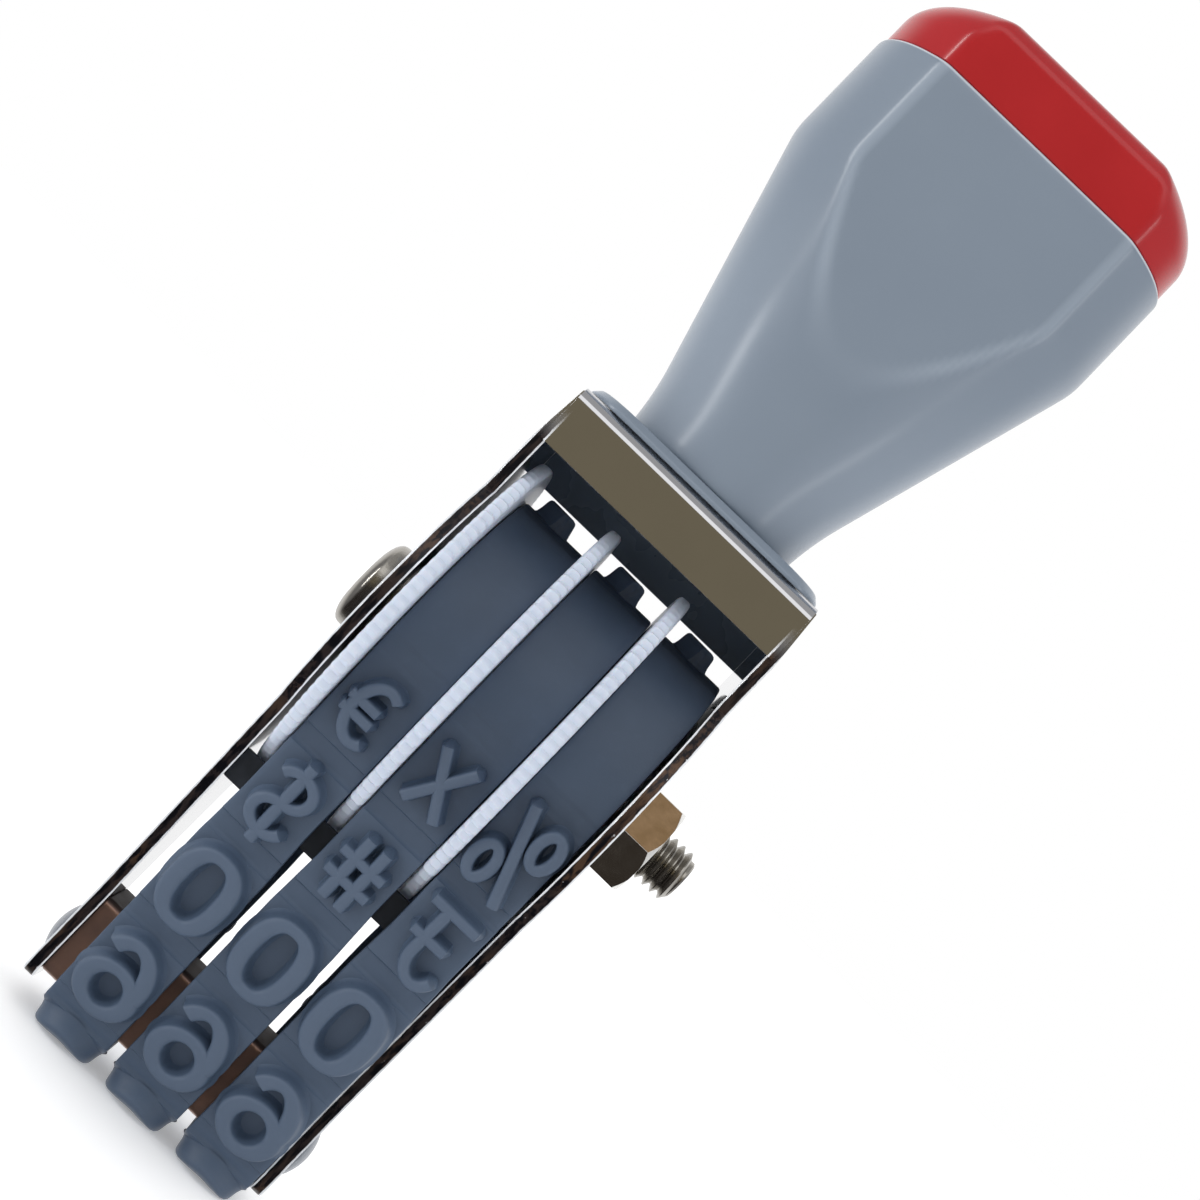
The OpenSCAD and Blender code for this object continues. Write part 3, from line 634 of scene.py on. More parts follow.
# %% Thread
THREAD_TURNS, THREAD_LAST, CHAMFER_X = 5, 0.4, 16.75
RIDGE_SINK, RIDGE_FOOT, RIDGE_CREST = 0.06, 0.34, 0.04

thread = added("thread_ridge", bpy.ops.mesh.primitive_circle_add, vertices=4, radius=MM)
ridge = ((CORE_R - RIDGE_SINK, -RIDGE_FOOT), (AXLE_R, -RIDGE_CREST),
         (AXLE_R, RIDGE_CREST), (CORE_R - RIDGE_SINK, RIDGE_FOOT))
for vertex, (r, along) in zip(thread.data.vertices, ridge):
    vertex.co = (r * MM, 0, along * MM)
apply_modifier(thread, "SCREW", axis="Z", angle=2 * math.pi, screw_offset=THREAD_PITCH * MM,
               iterations=THREAD_TURNS, steps=64, render_steps=64, use_merge_vertices=False)
along_x(thread, SCREW_END - THREAD_LAST - THREAD_TURNS * THREAD_PITCH, AXLE_Z)
close_skin(thread)
for vertex in thread.data.vertices:
    x, y, z = vertex.co / MM
    r = math.hypot(y, z - AXLE_Z)
    limit = AXLE_R - max(0.0, x - CHAMFER_X)
    if r > limit:
        vertex.co = Vector((x, y * limit / r, AXLE_Z + (z - AXLE_Z) * limit / r)) * MM
join(screw, thread)
smooth(screw, 32)
stand_for(screw, "axle_screw")

# %% [markdown]
# The nut is a six-sided cylinder cut to a barrel, which rounds off its corners as a real nut is
# chamfered.

# %% Nut
NUT_FLATS, NUT_T, BORE_GAP = 7.0, 3.2, 0.02
INNER_LEN, INNER_DROP, OUTER_LEN, OUTER_DROP = 0.2, 0.25, 0.42, 0.5

corner = NUT_FLATS / 2 / math.cos(math.pi / 6)
nut = added("axle_nut_hex", bpy.ops.mesh.primitive_cylinder_add, vertices=6,
            radius=corner * MM, depth=2 * NUT_T * MM, rotation=(0, math.pi / 2, 0),
            location=((OUTER_HALF + NUT_T / 2) * MM, 0, AXLE_Z * MM))
settle(nut)
barrel = turn_rings("barrel", [(0, corner - INNER_DROP), (INNER_LEN, corner),
                               (NUT_T - OUTER_LEN, corner), (NUT_T, corner - OUTER_DROP)],
                    96, OUTER_HALF)
cut(nut, barrel, "INTERSECT")
bore = [(x, AXLE_R + BORE_GAP) for x in (-1, NUT_T + 1)]
cut(nut, turn_rings("bore", bore, 64, OUTER_HALF))
round_edges(nut, 0.2, 3, 25)
smooth_flat(nut, 45)
stand_for(nut, "axle_nut")

# %% [markdown]
# A rivet's head is a low dome. Its arc is worked out from the head's radius and height, and the
# left rivet is the right one turned half round.

# %% Rivets
RIVET_Z, RIVET_R, RIVET_HEAD_R, RIVET_HEAD_H, RIVET_INNER = 5.3, 1.25, 2.3, 0.75, 6.7
DOME_STEPS = 13
dome_r = (RIVET_HEAD_R ** 2 + RIVET_HEAD_H ** 2) / (2 * RIVET_HEAD_H)
dome_turn = math.asin(RIVET_HEAD_R / dome_r)
rivet_rings = [(RIVET_INNER, RIVET_R - 0.1), (RIVET_INNER + 0.1, RIVET_R), (OUTER_HALF, RIVET_R),
               (OUTER_HALF, RIVET_HEAD_R - 0.04)]
for k in range(1, DOME_STEPS):
    turn = dome_turn * (1 - k / DOME_STEPS)
    rivet_rings.append((OUTER_HALF + RIVET_HEAD_H + dome_r * (math.cos(turn) - 1),
                        dome_r * math.sin(turn)))

rivets = []
for node, half_turn in (("rivet_right", 0), ("rivet_left", math.pi)):
    rivet = turn_rings(node + "_turned", rivet_rings, 64, 0, RIVET_Z)
    rivet.rotation_euler = (0, 0, half_turn)
    settle(rivet)
    smooth(rivet, 35)
    stand_for(rivet, node)
    rivets.append(rivet)

# %% [markdown]
# ## Number wheels
#
# Each wheel is one white moulding: a knurled thumb disc with a hollow drum beside it. One
# wheel is turned from a profile that runs from the bore round the disc and the drum and back
# to the bore. Its rim points are then drawn in between the teeth and ribs are added. The
# three wheels are copies of it.

# %% Number wheels
TEETH, TOOTH_POINTS, TOOTH_DEPTH, TOOTH_FOOT_R = 104, 6, 0.3, 13.9
RIBS = 6
DRUM_LEN, BORE_R, HUB_R, RIM_R = 5.45, 2.95, 4.45, 8.7
end = DISC_T + DRUM_LEN

wheel_rings = [
    (0, BORE_R), (0, 12.4), (0, 13.95), (0.05, 14.12), (0.16, 14.25), (0.3, DISC_R),
    (DISC_T - 0.3, DISC_R), (DISC_T - 0.16, 14.25), (DISC_T - 0.05, 14.12), (DISC_T, 13.95),
    (DISC_T, DRUM_R), (end - 0.1, DRUM_R), (end, DRUM_R - 0.1), (end, RIM_R + 0.1),
    (end - 0.1, RIM_R), (DISC_T, RIM_R), (DISC_T, HUB_R), (end - 0.1, HUB_R),
    (end, HUB_R - 0.1), (end, BORE_R + 0.1), (end - 0.1, BORE_R), (0, BORE_R)]
wheel = draw_rings("wheel", [(a, r, r) for a, r in wheel_rings], TEETH * TOOTH_POINTS)
for vertex in wheel.data.vertices:
    r = math.hypot(vertex.co.x, vertex.co.y) / MM
    if r > TOOTH_FOOT_R:
        turn = math.atan2(vertex.co.y, vertex.co.x) * TEETH
        drawn = 1 - TOOTH_DEPTH * (0.5 - 0.5 * math.cos(turn)) / r
        vertex.co.x *= drawn
        vertex.co.y *= drawn
close_skin(wheel)
ribs = []
for k in range(RIBS):
    rib = block("rib", (HUB_R - 0.4, -0.5, DISC_T - 0.1), (RIM_R + 0.4, 0.5, end - 0.5))
    rib.rotation_euler = (0, 0, math.radians(360 / RIBS * k))
    ribs.append(settle(rib))
join(wheel, *ribs)
along_x(wheel, 0, AXLE_Z)
smooth(wheel, 35)

wheels = []
for i, side in enumerate(("left", "middle", "right")):
    copy = duplicate(wheel, f"wheel_{side}_moulding")
    copy.location.x = (FIRST_DISC + i * PITCH) * MM
    settle(copy)
    stand_for(copy, f"wheel_{side}", f"wheel_{side}")
    wheels.append(copy)
bpy.data.objects.remove(wheel)

# %% [markdown]
# ## Rubber bands
#
# A band is a flat strip of rubber that was moulded with its figures and joined into a loop, and
# it is modelled the same way. A short piece of strip is repeated by an Array modifier, the
# figures are laid on it as curves swept with a tapered profile, and then every point is
# carried round the loop: its distance along the strip becomes a place on the loop, and its
# height stands out from it. So the figures bend with the rubber.

# %% The loop that a band runs round
POSITIONS = 14
edge_y, edge_z = BRIDGE_HALF - BRIDGE_R, BRIDGE_Z + BRIDGE_R
EDGE_R, LOOP_R = BRIDGE_R + BAND_GAP + BAND_T, DRUM_R + BAND_GAP + BAND_T
centre_gap = math.hypot(edge_y, AXLE_Z - edge_z)
lean = math.asin((DRUM_R - BRIDGE_R) / centre_gap) - math.atan(edge_y / (AXLE_Z - edge_z))
run = math.sqrt(centre_gap ** 2 - (DRUM_R - BRIDGE_R) ** 2)
edge_end = edge_y + EDGE_R * (math.pi / 2 - lean)
run_end = edge_end + run
half_loop = run_end + LOOP_R * (math.pi / 2 + lean)
CHAR_STEP = 2 * half_loop / POSITIONS
print(f"loop {2 * half_loop:.2f} mm long, {CHAR_STEP:.2f} mm from figure to figure")


def on_loop(s, height):
    """Depth and height of a point that stands out of the band at a distance s along it."""
    s %= 2 * half_loop
    mirror = s > half_loop
    if mirror:
        s = 2 * half_loop - s
    if s <= edge_y:
        turn, foot = 0.0, (-s, RELIEF + EDGE_R)
        reach = EDGE_R
    elif s <= edge_end:
        turn, foot, reach = (s - edge_y) / EDGE_R, (-edge_y, edge_z), EDGE_R
    elif s <= run_end:
        turn = math.pi / 2 - lean
        along = s - edge_end
        foot = (-edge_y - along * math.sin(lean), edge_z + along * math.cos(lean))
        reach = EDGE_R
    else:
        turn = math.pi / 2 - lean + (s - run_end) / LOOP_R
        foot, reach = (0.0, AXLE_Z), LOOP_R
    out = reach + height
    y, z = foot[0] - out * math.sin(turn), foot[1] - out * math.cos(turn)
    return (-y if mirror else y), z


# %% [markdown]
# Each figure is a few strokes, given as points on half its width and height. An arc is worked
# out from its middle, its two radii and the angles where it starts and ends.

# %% Strokes of the figures


def arc(middle, radii, start, stop, fullness=1.0):
    """Points on an oval, which grows towards a box as its fullness falls below 1."""
    count = max(4, round(abs(stop - start) / 9))
    turns = [math.radians(start + (stop - start) * i / count) for i in range(count + 1)]
    full = [[math.copysign(abs(f(t)) ** fullness, f(t)) for f in (math.cos, math.sin)]
            for t in turns]
    return [(middle[0] + radii[0] * c, middle[1] + radii[1] * s) for c, s in full]


six = [arc((0, -0.4), (1, 0.6), 0, 360), arc((0.04, 0.05), (1.02, 0.95), 192, 38)]
STROKES = {
    "0": [arc((0, 0), (1, 1), 0, 360, 0.8)],
    "1": [[(0.15, -1.15), (0.15, 1.0)], [(0.15, 0.98), (-0.7, 0.5)]],
    "2": [arc((0, 0.42), (0.95, 0.58), 165, -30) + [(-0.9, -1)], [(-0.9, -1), (1.1, -1)]],
    "3": [arc((0, 0.47), (0.85, 0.53), 155, -85), arc((0, -0.46), (1, 0.54), 90, -155)],
    "4": [[(0.4, 1.05), (-1, -0.45)], [(-1.0, -0.45), (1.1, -0.45)], [(0.4, 1.05), (0.4, -1.1)]],
    "5": [[(0.95, 1), (-0.75, 1)], [(-0.75, 1), (-0.8, 0.05)],
          arc((0, -0.36), (1, 0.64), 140, -150)],
    "6": six,
    "7": [[(-1.1, 1), (1.05, 1)], [(1.05, 1), (-0.3, -1.1)]],
    "8": [arc((0, 0.5), (0.85, 0.5), 0, 360), arc((0, -0.46), (1, 0.54), 0, 360)],
    "9": [[(-x, -y) for x, y in stroke] for stroke in six],
    "dollar": [arc((0, 0.42), (0.85, 0.42), 25, 262) + arc((0, -0.42), (0.85, 0.42), 82, -155),
               [(0, -1.15), (0, 1.15)]],
    "euro": [arc((0.2, 0), (0.95, 1), 58, 302), [(-1.1, 0.24), (0.5, 0.24)],
             [(-1.1, -0.2), (0.4, -0.2)]],
    "pound": [[(-1.0, -1), (1.05, -1)], [(-0.25, -1)] + arc((0.4, 0.35), (0.7, 0.65), 180, 30),
              [(-0.85, -0.1), (0.65, -0.1)]],
    "hash": [[(-0.38, -1.05), (-0.38, 1.05)], [(0.42, -1.05), (0.42, 1.05)],
             [(-1.05, -0.34), (1.05, -0.34)], [(-1.05, 0.34), (1.05, 0.34)]],
    "cross": [[(-0.8, -1.05), (0.8, 1.05)], [(-0.8, 1.05), (0.8, -1.05)]],
    "percent": [[(-0.6, -1.1), (0.6, 1.1)], arc((-0.65, 0.5), (0.38, 0.42), 0, 360),
                arc((0.65, -0.5), (0.38, 0.42), 0, 360)],
}
FIGURES = "1234567890"
# Width and height of the raised face, width of a level stroke's face, spread of its foot
FACE = {True: (4.66, 6.3, 0.88, 0.32), False: (4.1, 5.9, 0.74, 0.26)}
UPRIGHT = {True: 1.36, False: 1.1}
SIGN_FACE = {"euro": (3.9, 5.1), "cross": (4.2, 5.0), "percent": (4.9, 7.1), "hash": (4.2, 5.5),
             "pound": (4.5, 6.1), "dollar": (4.2, 6.4)}
FOOT = 0.06
NOSE, NOSE_SIZE = 0.4, 0.3
STROKE_STEP = 0.004


def add_line(curve, points, closed):
    """Adds a line through points in mm to a curve."""
    spline = curve.splines.new("POLY")
    spline.points.add(len(points) - 1)
    for place, (x, y, z) in zip(spline.points, points):
        place.co = (x * MM, y * MM, z * MM, 1)
    spline.use_cyclic_u = closed
    return spline


def link_curve(name, curve):
    piece = bpy.data.objects.new(name, curve)
    bpy.context.scene.collection.objects.link(piece)
    return piece


def stroke_profile(face, spread):
    """The section that is swept along a stroke: a hollow flared foot and a rounded top edge."""
    half = [(face / 2 + spread, -FOOT), (face / 2 + 0.55 * spread, 0.12),
            (face / 2 + 0.3 * spread, 0.45), (face / 2 + 0.12 * spread, RELIEF - 0.45),
            (face / 2, RELIEF - 0.2), (face / 2 - 0.08, RELIEF - 0.07), (face / 2 - 0.22, RELIEF)]
    section = half + [(-x, y) for x, y in reversed(half)]
    curve = bpy.data.curves.new("profile", "CURVE")
    curve.dimensions = "2D"
    add_line(curve, [(x, y, 0) for x, y in section], True)
    return link_curve("profile", curve)


# %% [markdown]
# A figure's strokes become curves that are swept with the profile. An open stroke gets a smaller
# point beyond each end, which rounds it. Each stroke lies a hair lower than the one before, so
# that no two faces lie in one plane where strokes cross.

# %% Figures on the strip
PROFILES = {figure: stroke_profile(*sizes[2:]) for figure, sizes in FACE.items()}


def figure_mesh(char, s):
    """One figure on the flat strip, its middle at the distance s, turned to print right."""
    is_figure = char in FIGURES
    face = FACE[is_figure][2]
    width, height = SIGN_FACE.get(char, FACE[is_figure][:2])
    stretch = UPRIGHT[is_figure]
    half_w, half_h = (width / stretch - face) / 2, (height - face) / 2
    curve = bpy.data.curves.new(char, "CURVE")
    curve.dimensions = "3D"
    curve.twist_mode = "Z_UP"
    curve.bevel_mode = "OBJECT"
    curve.bevel_object = PROFILES[is_figure]
    curve.use_fill_caps = True
    for n, stroke in enumerate(STROKES[char]):
        points = [Vector((x * half_w, -y * half_h)) for x, y in stroke]
        closed = (points[0] - points[-1]).length < 0.01
        sizes = [1.0] * len(points)
        if closed:
            points, sizes = points[:-1], sizes[:-1]
        else:
            nose = face * NOSE
            first = points[0] + nose * (points[0] - points[1]).normalized()
            last = points[-1] + nose * (points[-1] - points[-2]).normalized()
            points = [first] + points + [last]
            sizes = [NOSE_SIZE] + sizes + [NOSE_SIZE]
        spline = add_line(curve, [(x, y, -STROKE_STEP * n) for x, y in points], closed)
        for place, size in zip(spline.points, sizes):
            place.radius = size
    pick(link_curve(char, curve))
    bpy.ops.object.convert(target="MESH")
    piece = bpy.context.object
    piece.scale.x = stretch
    piece.location.y = s * MM
    return settle(piece)


# %% [markdown]
# The strip's own section has softly rounded outer edges. Between two figures the mould leaves a
# shallow groove right across the band. Below the drums, where no disc guides it, the rubber
# spreads a little.

# %% Strips
ROWS = 700
TURN = 1.0
BAND_SIDE_GAP = 0.1
SPREAD, SPREAD_LOW, SPREAD_HIGH = 0.065, 17.5, 22.0
GROOVE_W, GROOVE_D, GROOVE_SLOPE = 1.4, 0.3, 0.14
LAST_GROOVE_D = 0.07
SIGNS = {"left": ("dollar", "euro"), "middle": ("hash", "cross"), "right": ("pound", "percent")}
BAND_CHARS = {side: [*"890", *signs, "", "", *"1234567"] for side, signs in SIGNS.items()}


def groove(s, chars):
    """Depth of the groove at a distance along the band."""
    place = (s - TURN) / CHAR_STEP - 0.5
    k = round(place)
    printed = bool(chars[k % POSITIONS]) + bool(chars[(k + 1) % POSITIONS])
    away = abs(place - k) * CHAR_STEP
    share = (GROOVE_W / 2 + GROOVE_SLOPE / 2 - away) / GROOVE_SLOPE
    share = min(max(share, 0.0), 1.0)
    return (0.0, LAST_GROOVE_D, GROOVE_D)[printed] * share * share * (3 - 2 * share)


def flat_strip(name):
    half, t, r, heel = BAND_W / 2, BAND_T, 0.16, 0.08
    right = [(half - heel, -t), (half, heel - t), (half, -r), (half - 0.3 * r, -0.3 * r),
             (half - r, 0), (half - 3 * r, 0)]
    section = right + [(-x, z) for x, z in reversed(right)]
    piece = added(name, bpy.ops.mesh.primitive_circle_add, vertices=len(section), radius=MM)
    for vertex, (x, z) in zip(piece.data.vertices, section):
        vertex.co = (x * MM, 0, z * MM)
    row = 2 * half_loop / ROWS
    edit_all(piece)
    bpy.ops.mesh.extrude_region_move(TRANSFORM_OT_translate={"value": (0, row * MM, 0)})
    bpy.ops.object.mode_set(mode="OBJECT")
    apply_modifier(piece, "ARRAY", count=ROWS, use_relative_offset=False, use_constant_offset=True,
                   constant_offset_displace=(0, row * MM, 0), use_merge_vertices=True,
                   merge_threshold=row / 10 * MM)
    return piece


# %% [markdown]
# Figures and strip are joined while they are flat. Each point's height is stored for the
# material, and then the points are carried round the loop.

# %% Bands
bands = []
for i, (side, chars) in enumerate(BAND_CHARS.items()):
    band = flat_strip(f"band_{side}_rubber")
    for vertex in band.data.vertices:
        if vertex.co.z > -BAND_T / 2 * MM:
            vertex.co.z -= groove(vertex.co.y / MM, chars) * MM
    figures = [figure_mesh(char, k * CHAR_STEP + TURN) for k, char in enumerate(chars) if char]
    join(band, *figures)
    raised = band.data.attributes.new("raised", "FLOAT", "POINT")
    raised.data.foreach_set("value", [v.co.z / MM / RELIEF for v in band.data.vertices])
    middle = FIRST_DISC + i * PITCH + DISC_T + BAND_SIDE_GAP + BAND_W / 2
    for vertex in band.data.vertices:
        x, s, height = vertex.co / MM
        y, z = on_loop(s, height)
        free = min(max((SPREAD_HIGH - z) / (SPREAD_HIGH - SPREAD_LOW), 0.0), 1.0)
        vertex.co = Vector((middle + x * (1 + SPREAD * free), y, z)) * MM
    close_skin(band)
    smooth(band, 38)
    stand_for(band, f"band_{side}")
    bands.append(band)
for profile in PROFILES.values():
    bpy.data.objects.remove(profile)

# %% [markdown]
# ## Materials
#
# Every finish is built from noise in object coordinates, at the size that the real finish has.
# On the grey handle the creases beside the flats, the rim at the seam and the sides of the neck get
# painted highlights: they are mixed paler, standing in for light that catches them.

# %% Plastics
SEAM_HIGHLIGHT_LOW, SEAM_HIGHLIGHT_HIGH = SEAM_Z - 0.3, SEAM_Z - 0.16
SHEEN_HIGH, SHEEN_LOW = 78.0, 64.0
grey = Finish("grey_plastic", Base_Color=linear("7E8A97"), Roughness=0.26, IOR=1.48)
cloud = grey.noise(9.0, 2.0)
grain = grey.noise(0.18, 4.0)
# Painted highlight: the rim at the seam is mixed nearly white.
seam_highlight = grey.step(grey.axis("Z"), SEAM_HIGHLIGHT_LOW * MM, SEAM_HIGHLIGHT_HIGH * MM)
crease_highlight = grey.node("ShaderNodeAttribute", {"attribute_name": "crease_highlight"}, out="Fac")
tint = grey.mix(cloud, linear("788390"), linear("7F8A96"))
# Painted sheen: the sides of the neck are mixed paler, standing in for soft reflections.
neck_sheen = grey.step(abs(grey.facing("X")), 0.2, 0.7) * grey.step(
    grey.axis("Z"), SHEEN_HIGH * MM, SHEEN_LOW * MM)
tint = grey.mix(0.22 * neck_sheen, tint, linear("A3ADB9"))
# Painted highlight: a pale line is mixed in along the creases beside the flats.
tint = grey.mix(0.28 * crease_highlight, tint, linear("B4BEC9"))
grey.set(Base_Color=grey.mix(0.7 * seam_highlight, tint, linear("D5DBE2")),
         Roughness=0.18 + 0.08 * cloud + 0.04 * grain)
grey.bump(grain, 0.0015)
grey.on(handle, collar)

red = Finish("red_plastic", Base_Color=linear("B02126"), Roughness=0.2, IOR=1.5)
cloud = red.noise(8.0, 2.0)
red.set(Base_Color=red.mix(cloud, linear("9E1C20"), linear("AE2226")), Roughness=0.14 + 0.1 * cloud)
red.bump(red.noise(0.25, 3.0), 0.003)
red.on(cap)

white = Finish("white_plastic", Base_Color=linear("D4DBE7"), Roughness=0.35, IOR=1.5,
               Subsurface_Weight=0.1, Subsurface_Scale=0.4 * MM)
cloud = white.noise(3.0, 3.0)
white.set(Base_Color=white.mix(cloud, linear("C8D1E0"), linear("D3DBE8")),
          Roughness=0.3 + 0.12 * cloud)
white.bump(white.noise(0.3, 3.0), 0.006)
white.on(*wheels)

# %% [markdown]
# The rubber is slate grey and dull. It is painted darker up at the drums and paler down to the
# bridge: painted shade under the frame. It is also paler on the raised faces, with specks of dust.
# The share for the raised faces comes from the raised attribute of the mesh.

# %% Rubber
DEEP_HIGH, PALE_LOW = 46.0, 20.0
rubber = Finish("slate_rubber", Base_Color=linear("4B5768"), Roughness=0.55, IOR=1.5)
height = rubber.node("ShaderNodeAttribute", {"attribute_name": "raised"}, out="Fac")
top = rubber.step(height, 0.75, 1.0)
dust = rubber.step(rubber.noise(0.5, 5.0), 0.55, 0.75)
# Painted shade: the band is mixed darker towards the top, up at the drums under the frame.
low = rubber.step(rubber.axis("Z"), DEEP_HIGH * MM, PALE_LOW * MM)
base = rubber.mix(low, linear("3A4759"), linear("4B5B70"))
base = rubber.mix(0.35 * rubber.noise(4.0, 3.0), base, linear("55657A"))
rubber.set(Base_Color=rubber.mix(0.24 * top + 0.08 * dust, base, linear("627084")),
           Roughness=0.5 + 0.12 * dust)
rubber.bump(rubber.noise(0.14, 4.0), 0.008)
rubber.on(*bands)

# %% [markdown]
# The frame is bright chromium plate over sheared sheet. Its flat faces are mirrors with a faint
# ripple. Its cut edges, the narrow faces that look forward and back, were sheared and plated rough
# and are streaked; their colour is painted dark and brown with white specks, a painted reflection
# with painted glints. The dark part lies between two rolled rims painted nearly white: a painted
# highlight.
# The inside of the back flange is painted blue-black, duller and less metallic: painted shade.

# %% Chrome
CUT_TOP, CUT_FULL = 54.5, 51.6
RIM_START, RIM_FULL, RIM_WANDER = 0.3, 0.36, 0.1
SHEET_NEAR, SHEET_PAST = 0.455, 0.48
BACK_Y, BACK_Z = (7.0, 7.5), (49.0, 50.0)

chrome = Finish("chrome_plate", Base_Color=(0.62, 0.62, 0.64), Metallic=1.0, Roughness=0.08)
below = chrome.step(chrome.axis("Z"), CUT_TOP * MM, CUT_FULL * MM)
off_middle = abs(abs(chrome.axis("X")) - (INNER_HALF + OUTER_HALF) / 2 * MM)
wander = RIM_WANDER * MM * (chrome.noise(0.8, 4.0) - 0.5)
rim = chrome.step(off_middle + wander, RIM_START * MM, RIM_FULL * MM)
edge = (1 - chrome.step(abs(chrome.facing("X")), 0.9, 0.98)) * below * (
    1 - chrome.step(off_middle, SHEET_NEAR * MM, SHEET_PAST * MM))
sheared_and_shaded, rim_highlight = edge * (1 - rim), edge * rim
# Painted shade: the inside of the back flange is made blue-black and duller.
shaded_inside = (chrome.step(chrome.facing("Y"), -0.4, -0.7)
          * chrome.step(chrome.axis("Y"), *(y * MM for y in BACK_Y))
          * chrome.step(chrome.axis("Z"), *(z * MM for z in BACK_Z)))
ripple = chrome.noise(2.6, 2.0)
rough = chrome.noise(0.35, 5.0, (1, 1, 0.16))
# Painted reflection and painted glints on the cut edges: near-black streaks, brown patches and
# white specks.
glint_specks = chrome.step(chrome.noise(0.3, 3.0, (1, 1, 0.4)), 0.72, 0.76)
reflection_patches = chrome.step(chrome.noise(5.0, 2.0), 0.45, 0.7)
dark_edge_paint = chrome.mix(reflection_patches, (0.04, 0.028, 0.027), (0.1, 0.055, 0.032))
dark_edge_paint = chrome.mix(chrome.step(rough, 0.4, 0.6), (0.006, 0.006, 0.01), dark_edge_paint)
dark_edge_paint = chrome.mix(glint_specks, dark_edge_paint, (0.7, 0.7, 0.72))
plate = chrome.mix(ripple, (0.6, 0.6, 0.62), (0.64, 0.64, 0.66))
plate = chrome.mix(shaded_inside, plate, (0.16, 0.21, 0.28))
# Painted highlight: the rolled rims are mixed nearly white and made less metallic.
plate = chrome.mix(rim_highlight, plate, (0.9, 0.92, 0.95))
# The cut edges take this painted dark colour over their real rough finish.
chrome.set(Base_Color=chrome.mix(sheared_and_shaded, plate, dark_edge_paint),
           Metallic=1 - 0.6 * sheared_and_shaded - 0.85 * rim_highlight - 0.8 * shaded_inside,
           Roughness=0.06 + 0.03 * ripple + 0.2 * sheared_and_shaded + 0.2 * shaded_inside)
chrome.bump(0.15 * ripple * (1 - shaded_inside) + sheared_and_shaded * rough, 0.06)
chrome.on(steel)

# %% [markdown]
# The screws, washers, rivets, nut and brass insert are plated or turned metal, mottled at the size
# of a millimetre. The nut's upper facets are painted brown and gold, a painted reflection, and its
# edges and corners are painted bright: painted highlights.

# %% Screws, nut, rivets and insert
zinc = Finish("zinc_plate", Base_Color=(0.52, 0.5, 0.46), Metallic=1.0, Roughness=0.2)
spots = zinc.noise(0.7, 4.0)
zinc.set(Base_Color=zinc.mix(spots, (0.33, 0.31, 0.28), (0.47, 0.45, 0.41)),
         Roughness=0.16 + 0.16 * spots)
zinc.bump(zinc.noise(0.2, 3.0), 0.01)
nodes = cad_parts
plated = ("axle_sleeve", "friction_washer", "handle_screw", "handle_washer")
zinc.on(screw, *(nodes[name] for name in plated))

nut_zinc = Finish("nut_plate", Base_Color=(0.6, 0.55, 0.46), Metallic=1.0, Roughness=0.2)
spots = nut_zinc.noise(0.9, 4.0)
level = nut_zinc.facing("Z")
endward = abs(nut_zinc.facing("X"))
# Painted reflection: the upper facets are coloured brown and gold.
upper = nut_zinc.step(level, 0.2, 0.4) * (1 - nut_zinc.step(level, 0.7, 0.9))
on_flats = nut_zinc.step(abs(level), 0.38, 0.47)
on_ends = nut_zinc.step(endward, 0.12, 0.25) * (1 - nut_zinc.step(endward, 0.88, 0.97))
# Painted highlight: the edges and corners are mixed pale and made less metallic.
edge_highlight = 1 - on_flats * (1 - on_ends)
gold_reflection = nut_zinc.mix(spots, (0.36, 0.22, 0.1), (0.5, 0.33, 0.19))
plate_and_reflection = nut_zinc.mix(upper, nut_zinc.mix(spots, (0.56, 0.5, 0.4), (0.68, 0.63, 0.54)), gold_reflection)
nut_zinc.set(Base_Color=nut_zinc.mix(edge_highlight, plate_and_reflection, (0.8, 0.79, 0.76)), Metallic=1 - 0.6 * edge_highlight,
             Roughness=0.14 + 0.14 * spots)
nut_zinc.bump(nut_zinc.noise(0.4, 3.0), 0.008)
nut_zinc.on(nut)

rivet_steel = Finish("rivet_plate", Base_Color=(0.34, 0.36, 0.4), Metallic=1.0, Roughness=0.25)
spots = rivet_steel.noise(0.6, 4.0)
rivet_steel.set(Base_Color=rivet_steel.mix(spots, (0.2, 0.22, 0.25), (0.32, 0.34, 0.38)),
                Roughness=0.18 + 0.16 * spots)
rivet_steel.bump(spots, 0.01)
rivet_steel.on(*rivets)

brass = Finish("brass", Base_Color=(0.7, 0.5, 0.2), Metallic=1.0, Roughness=0.25)
spots = brass.noise(0.8, 3.0)
brass.set(Base_Color=brass.mix(spots, (0.6, 0.42, 0.16), (0.76, 0.56, 0.25)),
          Roughness=0.2 + 0.15 * spots)
brass.on(nodes["handle_insert"])

# %% [markdown]
# The bridge is brown steel, and its upper side is painted nearly black: painted shade. The cross
# bar is a dark satin strip.

# %% Bridge and cross bar
bridge_steel = Finish("bridge_plate", Base_Color=(0.35, 0.25, 0.2), Metallic=1.0, Roughness=0.25)
spots = bridge_steel.noise(2.0, 4.0)
# Painted shade: the upper side is mixed nearly black.
shaded_top = bridge_steel.step(bridge_steel.facing("Z"), 0.3, 0.8)
brown = bridge_steel.mix(spots, (0.24, 0.17, 0.15), (0.52, 0.3, 0.22))
bridge_steel.set(Base_Color=bridge_steel.mix(0.85 * shaded_top, brown, (0.03, 0.022, 0.02)),
                 Metallic=0.7 - 0.6 * shaded_top, Roughness=0.2 + 0.2 * spots + 0.3 * shaded_top)
bridge_steel.bump(bridge_steel.noise(0.5, 4.0), 0.02)
bridge_steel.on(bridge)

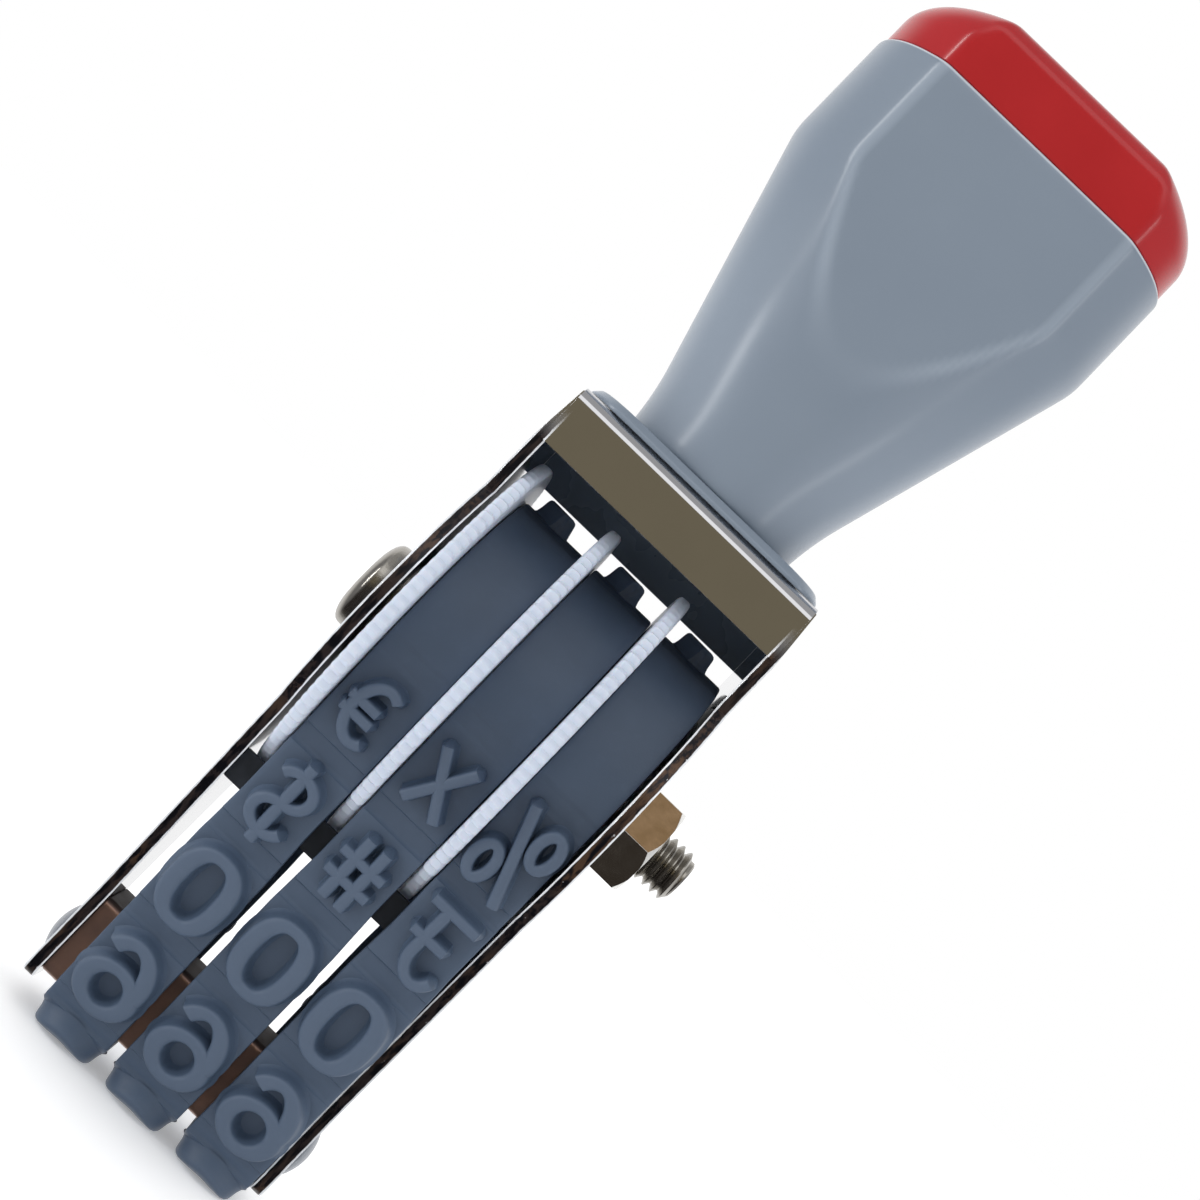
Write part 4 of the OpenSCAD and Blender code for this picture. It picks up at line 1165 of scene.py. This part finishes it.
dark = Finish("dark_strip", Base_Color=linear("3A3E46"), Roughness=0.5, Metallic=0.4)
spots = dark.noise(1.0, 4.0)
dark.set(Base_Color=dark.mix(spots, linear("30343B"), linear("464B54")),
         Roughness=0.4 + 0.2 * spots)
dark.bump(spots, 0.01)
dark.on(bar)
print("materials:", len(bpy.data.materials))

# %% [markdown]
# ## Floor, light and surroundings
#
# The object stands on a plain pale floor in front of white. The floor glows a little, so that
# it stays as pale as the photograph's ground, and bright metal doesn't show it.

# %% Floor
floor = added("floor", bpy.ops.mesh.primitive_plane_add, size=6.0, location=(0, 0, 0))
paper = Finish("pale_paper", Base_Color=(0.93, 0.93, 0.93), Roughness=0.9,
               Emission_Color=(1.0, 1.0, 1.0), Emission_Strength=0.28)
paper.set(Base_Color=paper.mix(paper.noise(60.0, 2.0), (0.92, 0.92, 0.92), (0.94, 0.94, 0.94)))
paper.on(floor)
floor.visible_glossy = False

# %% [markdown]
# Bright metal shows what is round it, so the surroundings are painted for reflections alone:
# white behind, grey at the sides, and dim and brownish on the photographer's side, with a
# white window above and grey overhead. A Light Path node keeps those colours out of the
# picture's own background and out of the soft light.

# %% Surroundings
world = bpy.data.worlds.new("surroundings")
bpy.context.scene.world = world
world.use_nodes = True
tree = world.node_tree
tree.nodes.clear()


def sky(share, low, high, first, second):
    """Goes from the first colour to the second as share goes from low to high."""
    return mix_colours(tree, smooth_step(tree, share, low, high), first, second)


direction = make_node(tree, "ShaderNodeTexCoord", None, None, "Generated")
across, deep, high = (make_node(tree, "ShaderNodeSeparateXYZ", None, {0: direction}, i)
                      for i in range(3))
front = sky(high, -0.05, 0.03, (0.045, 0.04, 0.038), (0.205, 0.175, 0.115))
front = sky(high, 0.44, 0.48, front, (1.2, 1.2, 1.2))
front = sky(high, 0.77, 0.8, front, (0.45, 0.45, 0.45))
seen = sky(abs(across), 0.4, 0.8, front, (0.3, 0.3, 0.31))
seen = sky(deep, 0.2, 0.7, seen, (1.0, 1.0, 1.0))
soft = sky(deep, -0.9, -0.2, (0.4, 0.42, 0.45), (1.0, 1.0, 1.02))
soft = sky(high, 0.3, 0.95, soft, (1.15, 1.15, 1.15))
is_glossy = make_node(tree, "ShaderNodeLightPath", None, None, "Is Glossy Ray")
is_camera = make_node(tree, "ShaderNodeLightPath", None, None, "Is Camera Ray")
colour = mix_colours(tree, is_glossy, soft, seen)
colour = mix_colours(tree, is_camera, colour, (1.0, 1.0, 1.0))
background = make_node(tree, "ShaderNodeBackground", None, {"Color": colour})
output = tree.nodes.new("ShaderNodeOutputWorld")
tree.links.new(background.socket, output.inputs["Surface"])

# %% [markdown]
# Two tall narrow soft lights stand left and right of the stamp. They draw the thin bright lines
# on the handle's creases and neck.

# %% Strip lights
LIGHT_HEIGHT, AIM_HEIGHT = 0.12, 0.06


def strip_light(name, azimuth, distance, width, tall, power):
    """A tall area light, azimuth degrees round from the front to the right."""
    turn = math.radians(azimuth)
    place = (distance * math.sin(turn), -distance * math.cos(turn), LIGHT_HEIGHT)
    light = added(name, bpy.ops.object.light_add, type="AREA", location=place)
    light.data.shape = "RECTANGLE"
    light.data.size, light.data.size_y = width, tall
    light.data.energy = power
    aim = Vector((0, 0, AIM_HEIGHT)) - Vector(place)
    light.rotation_euler = aim.to_track_quat("-Z", "Y").to_euler()


strip_light("left_strip", -60, 0.6, 0.05, 0.45, 0.9)
strip_light("right_strip", 64, 0.6, 0.05, 0.45, 0.28)
bpy.context.scene.view_settings.view_transform = "Standard"
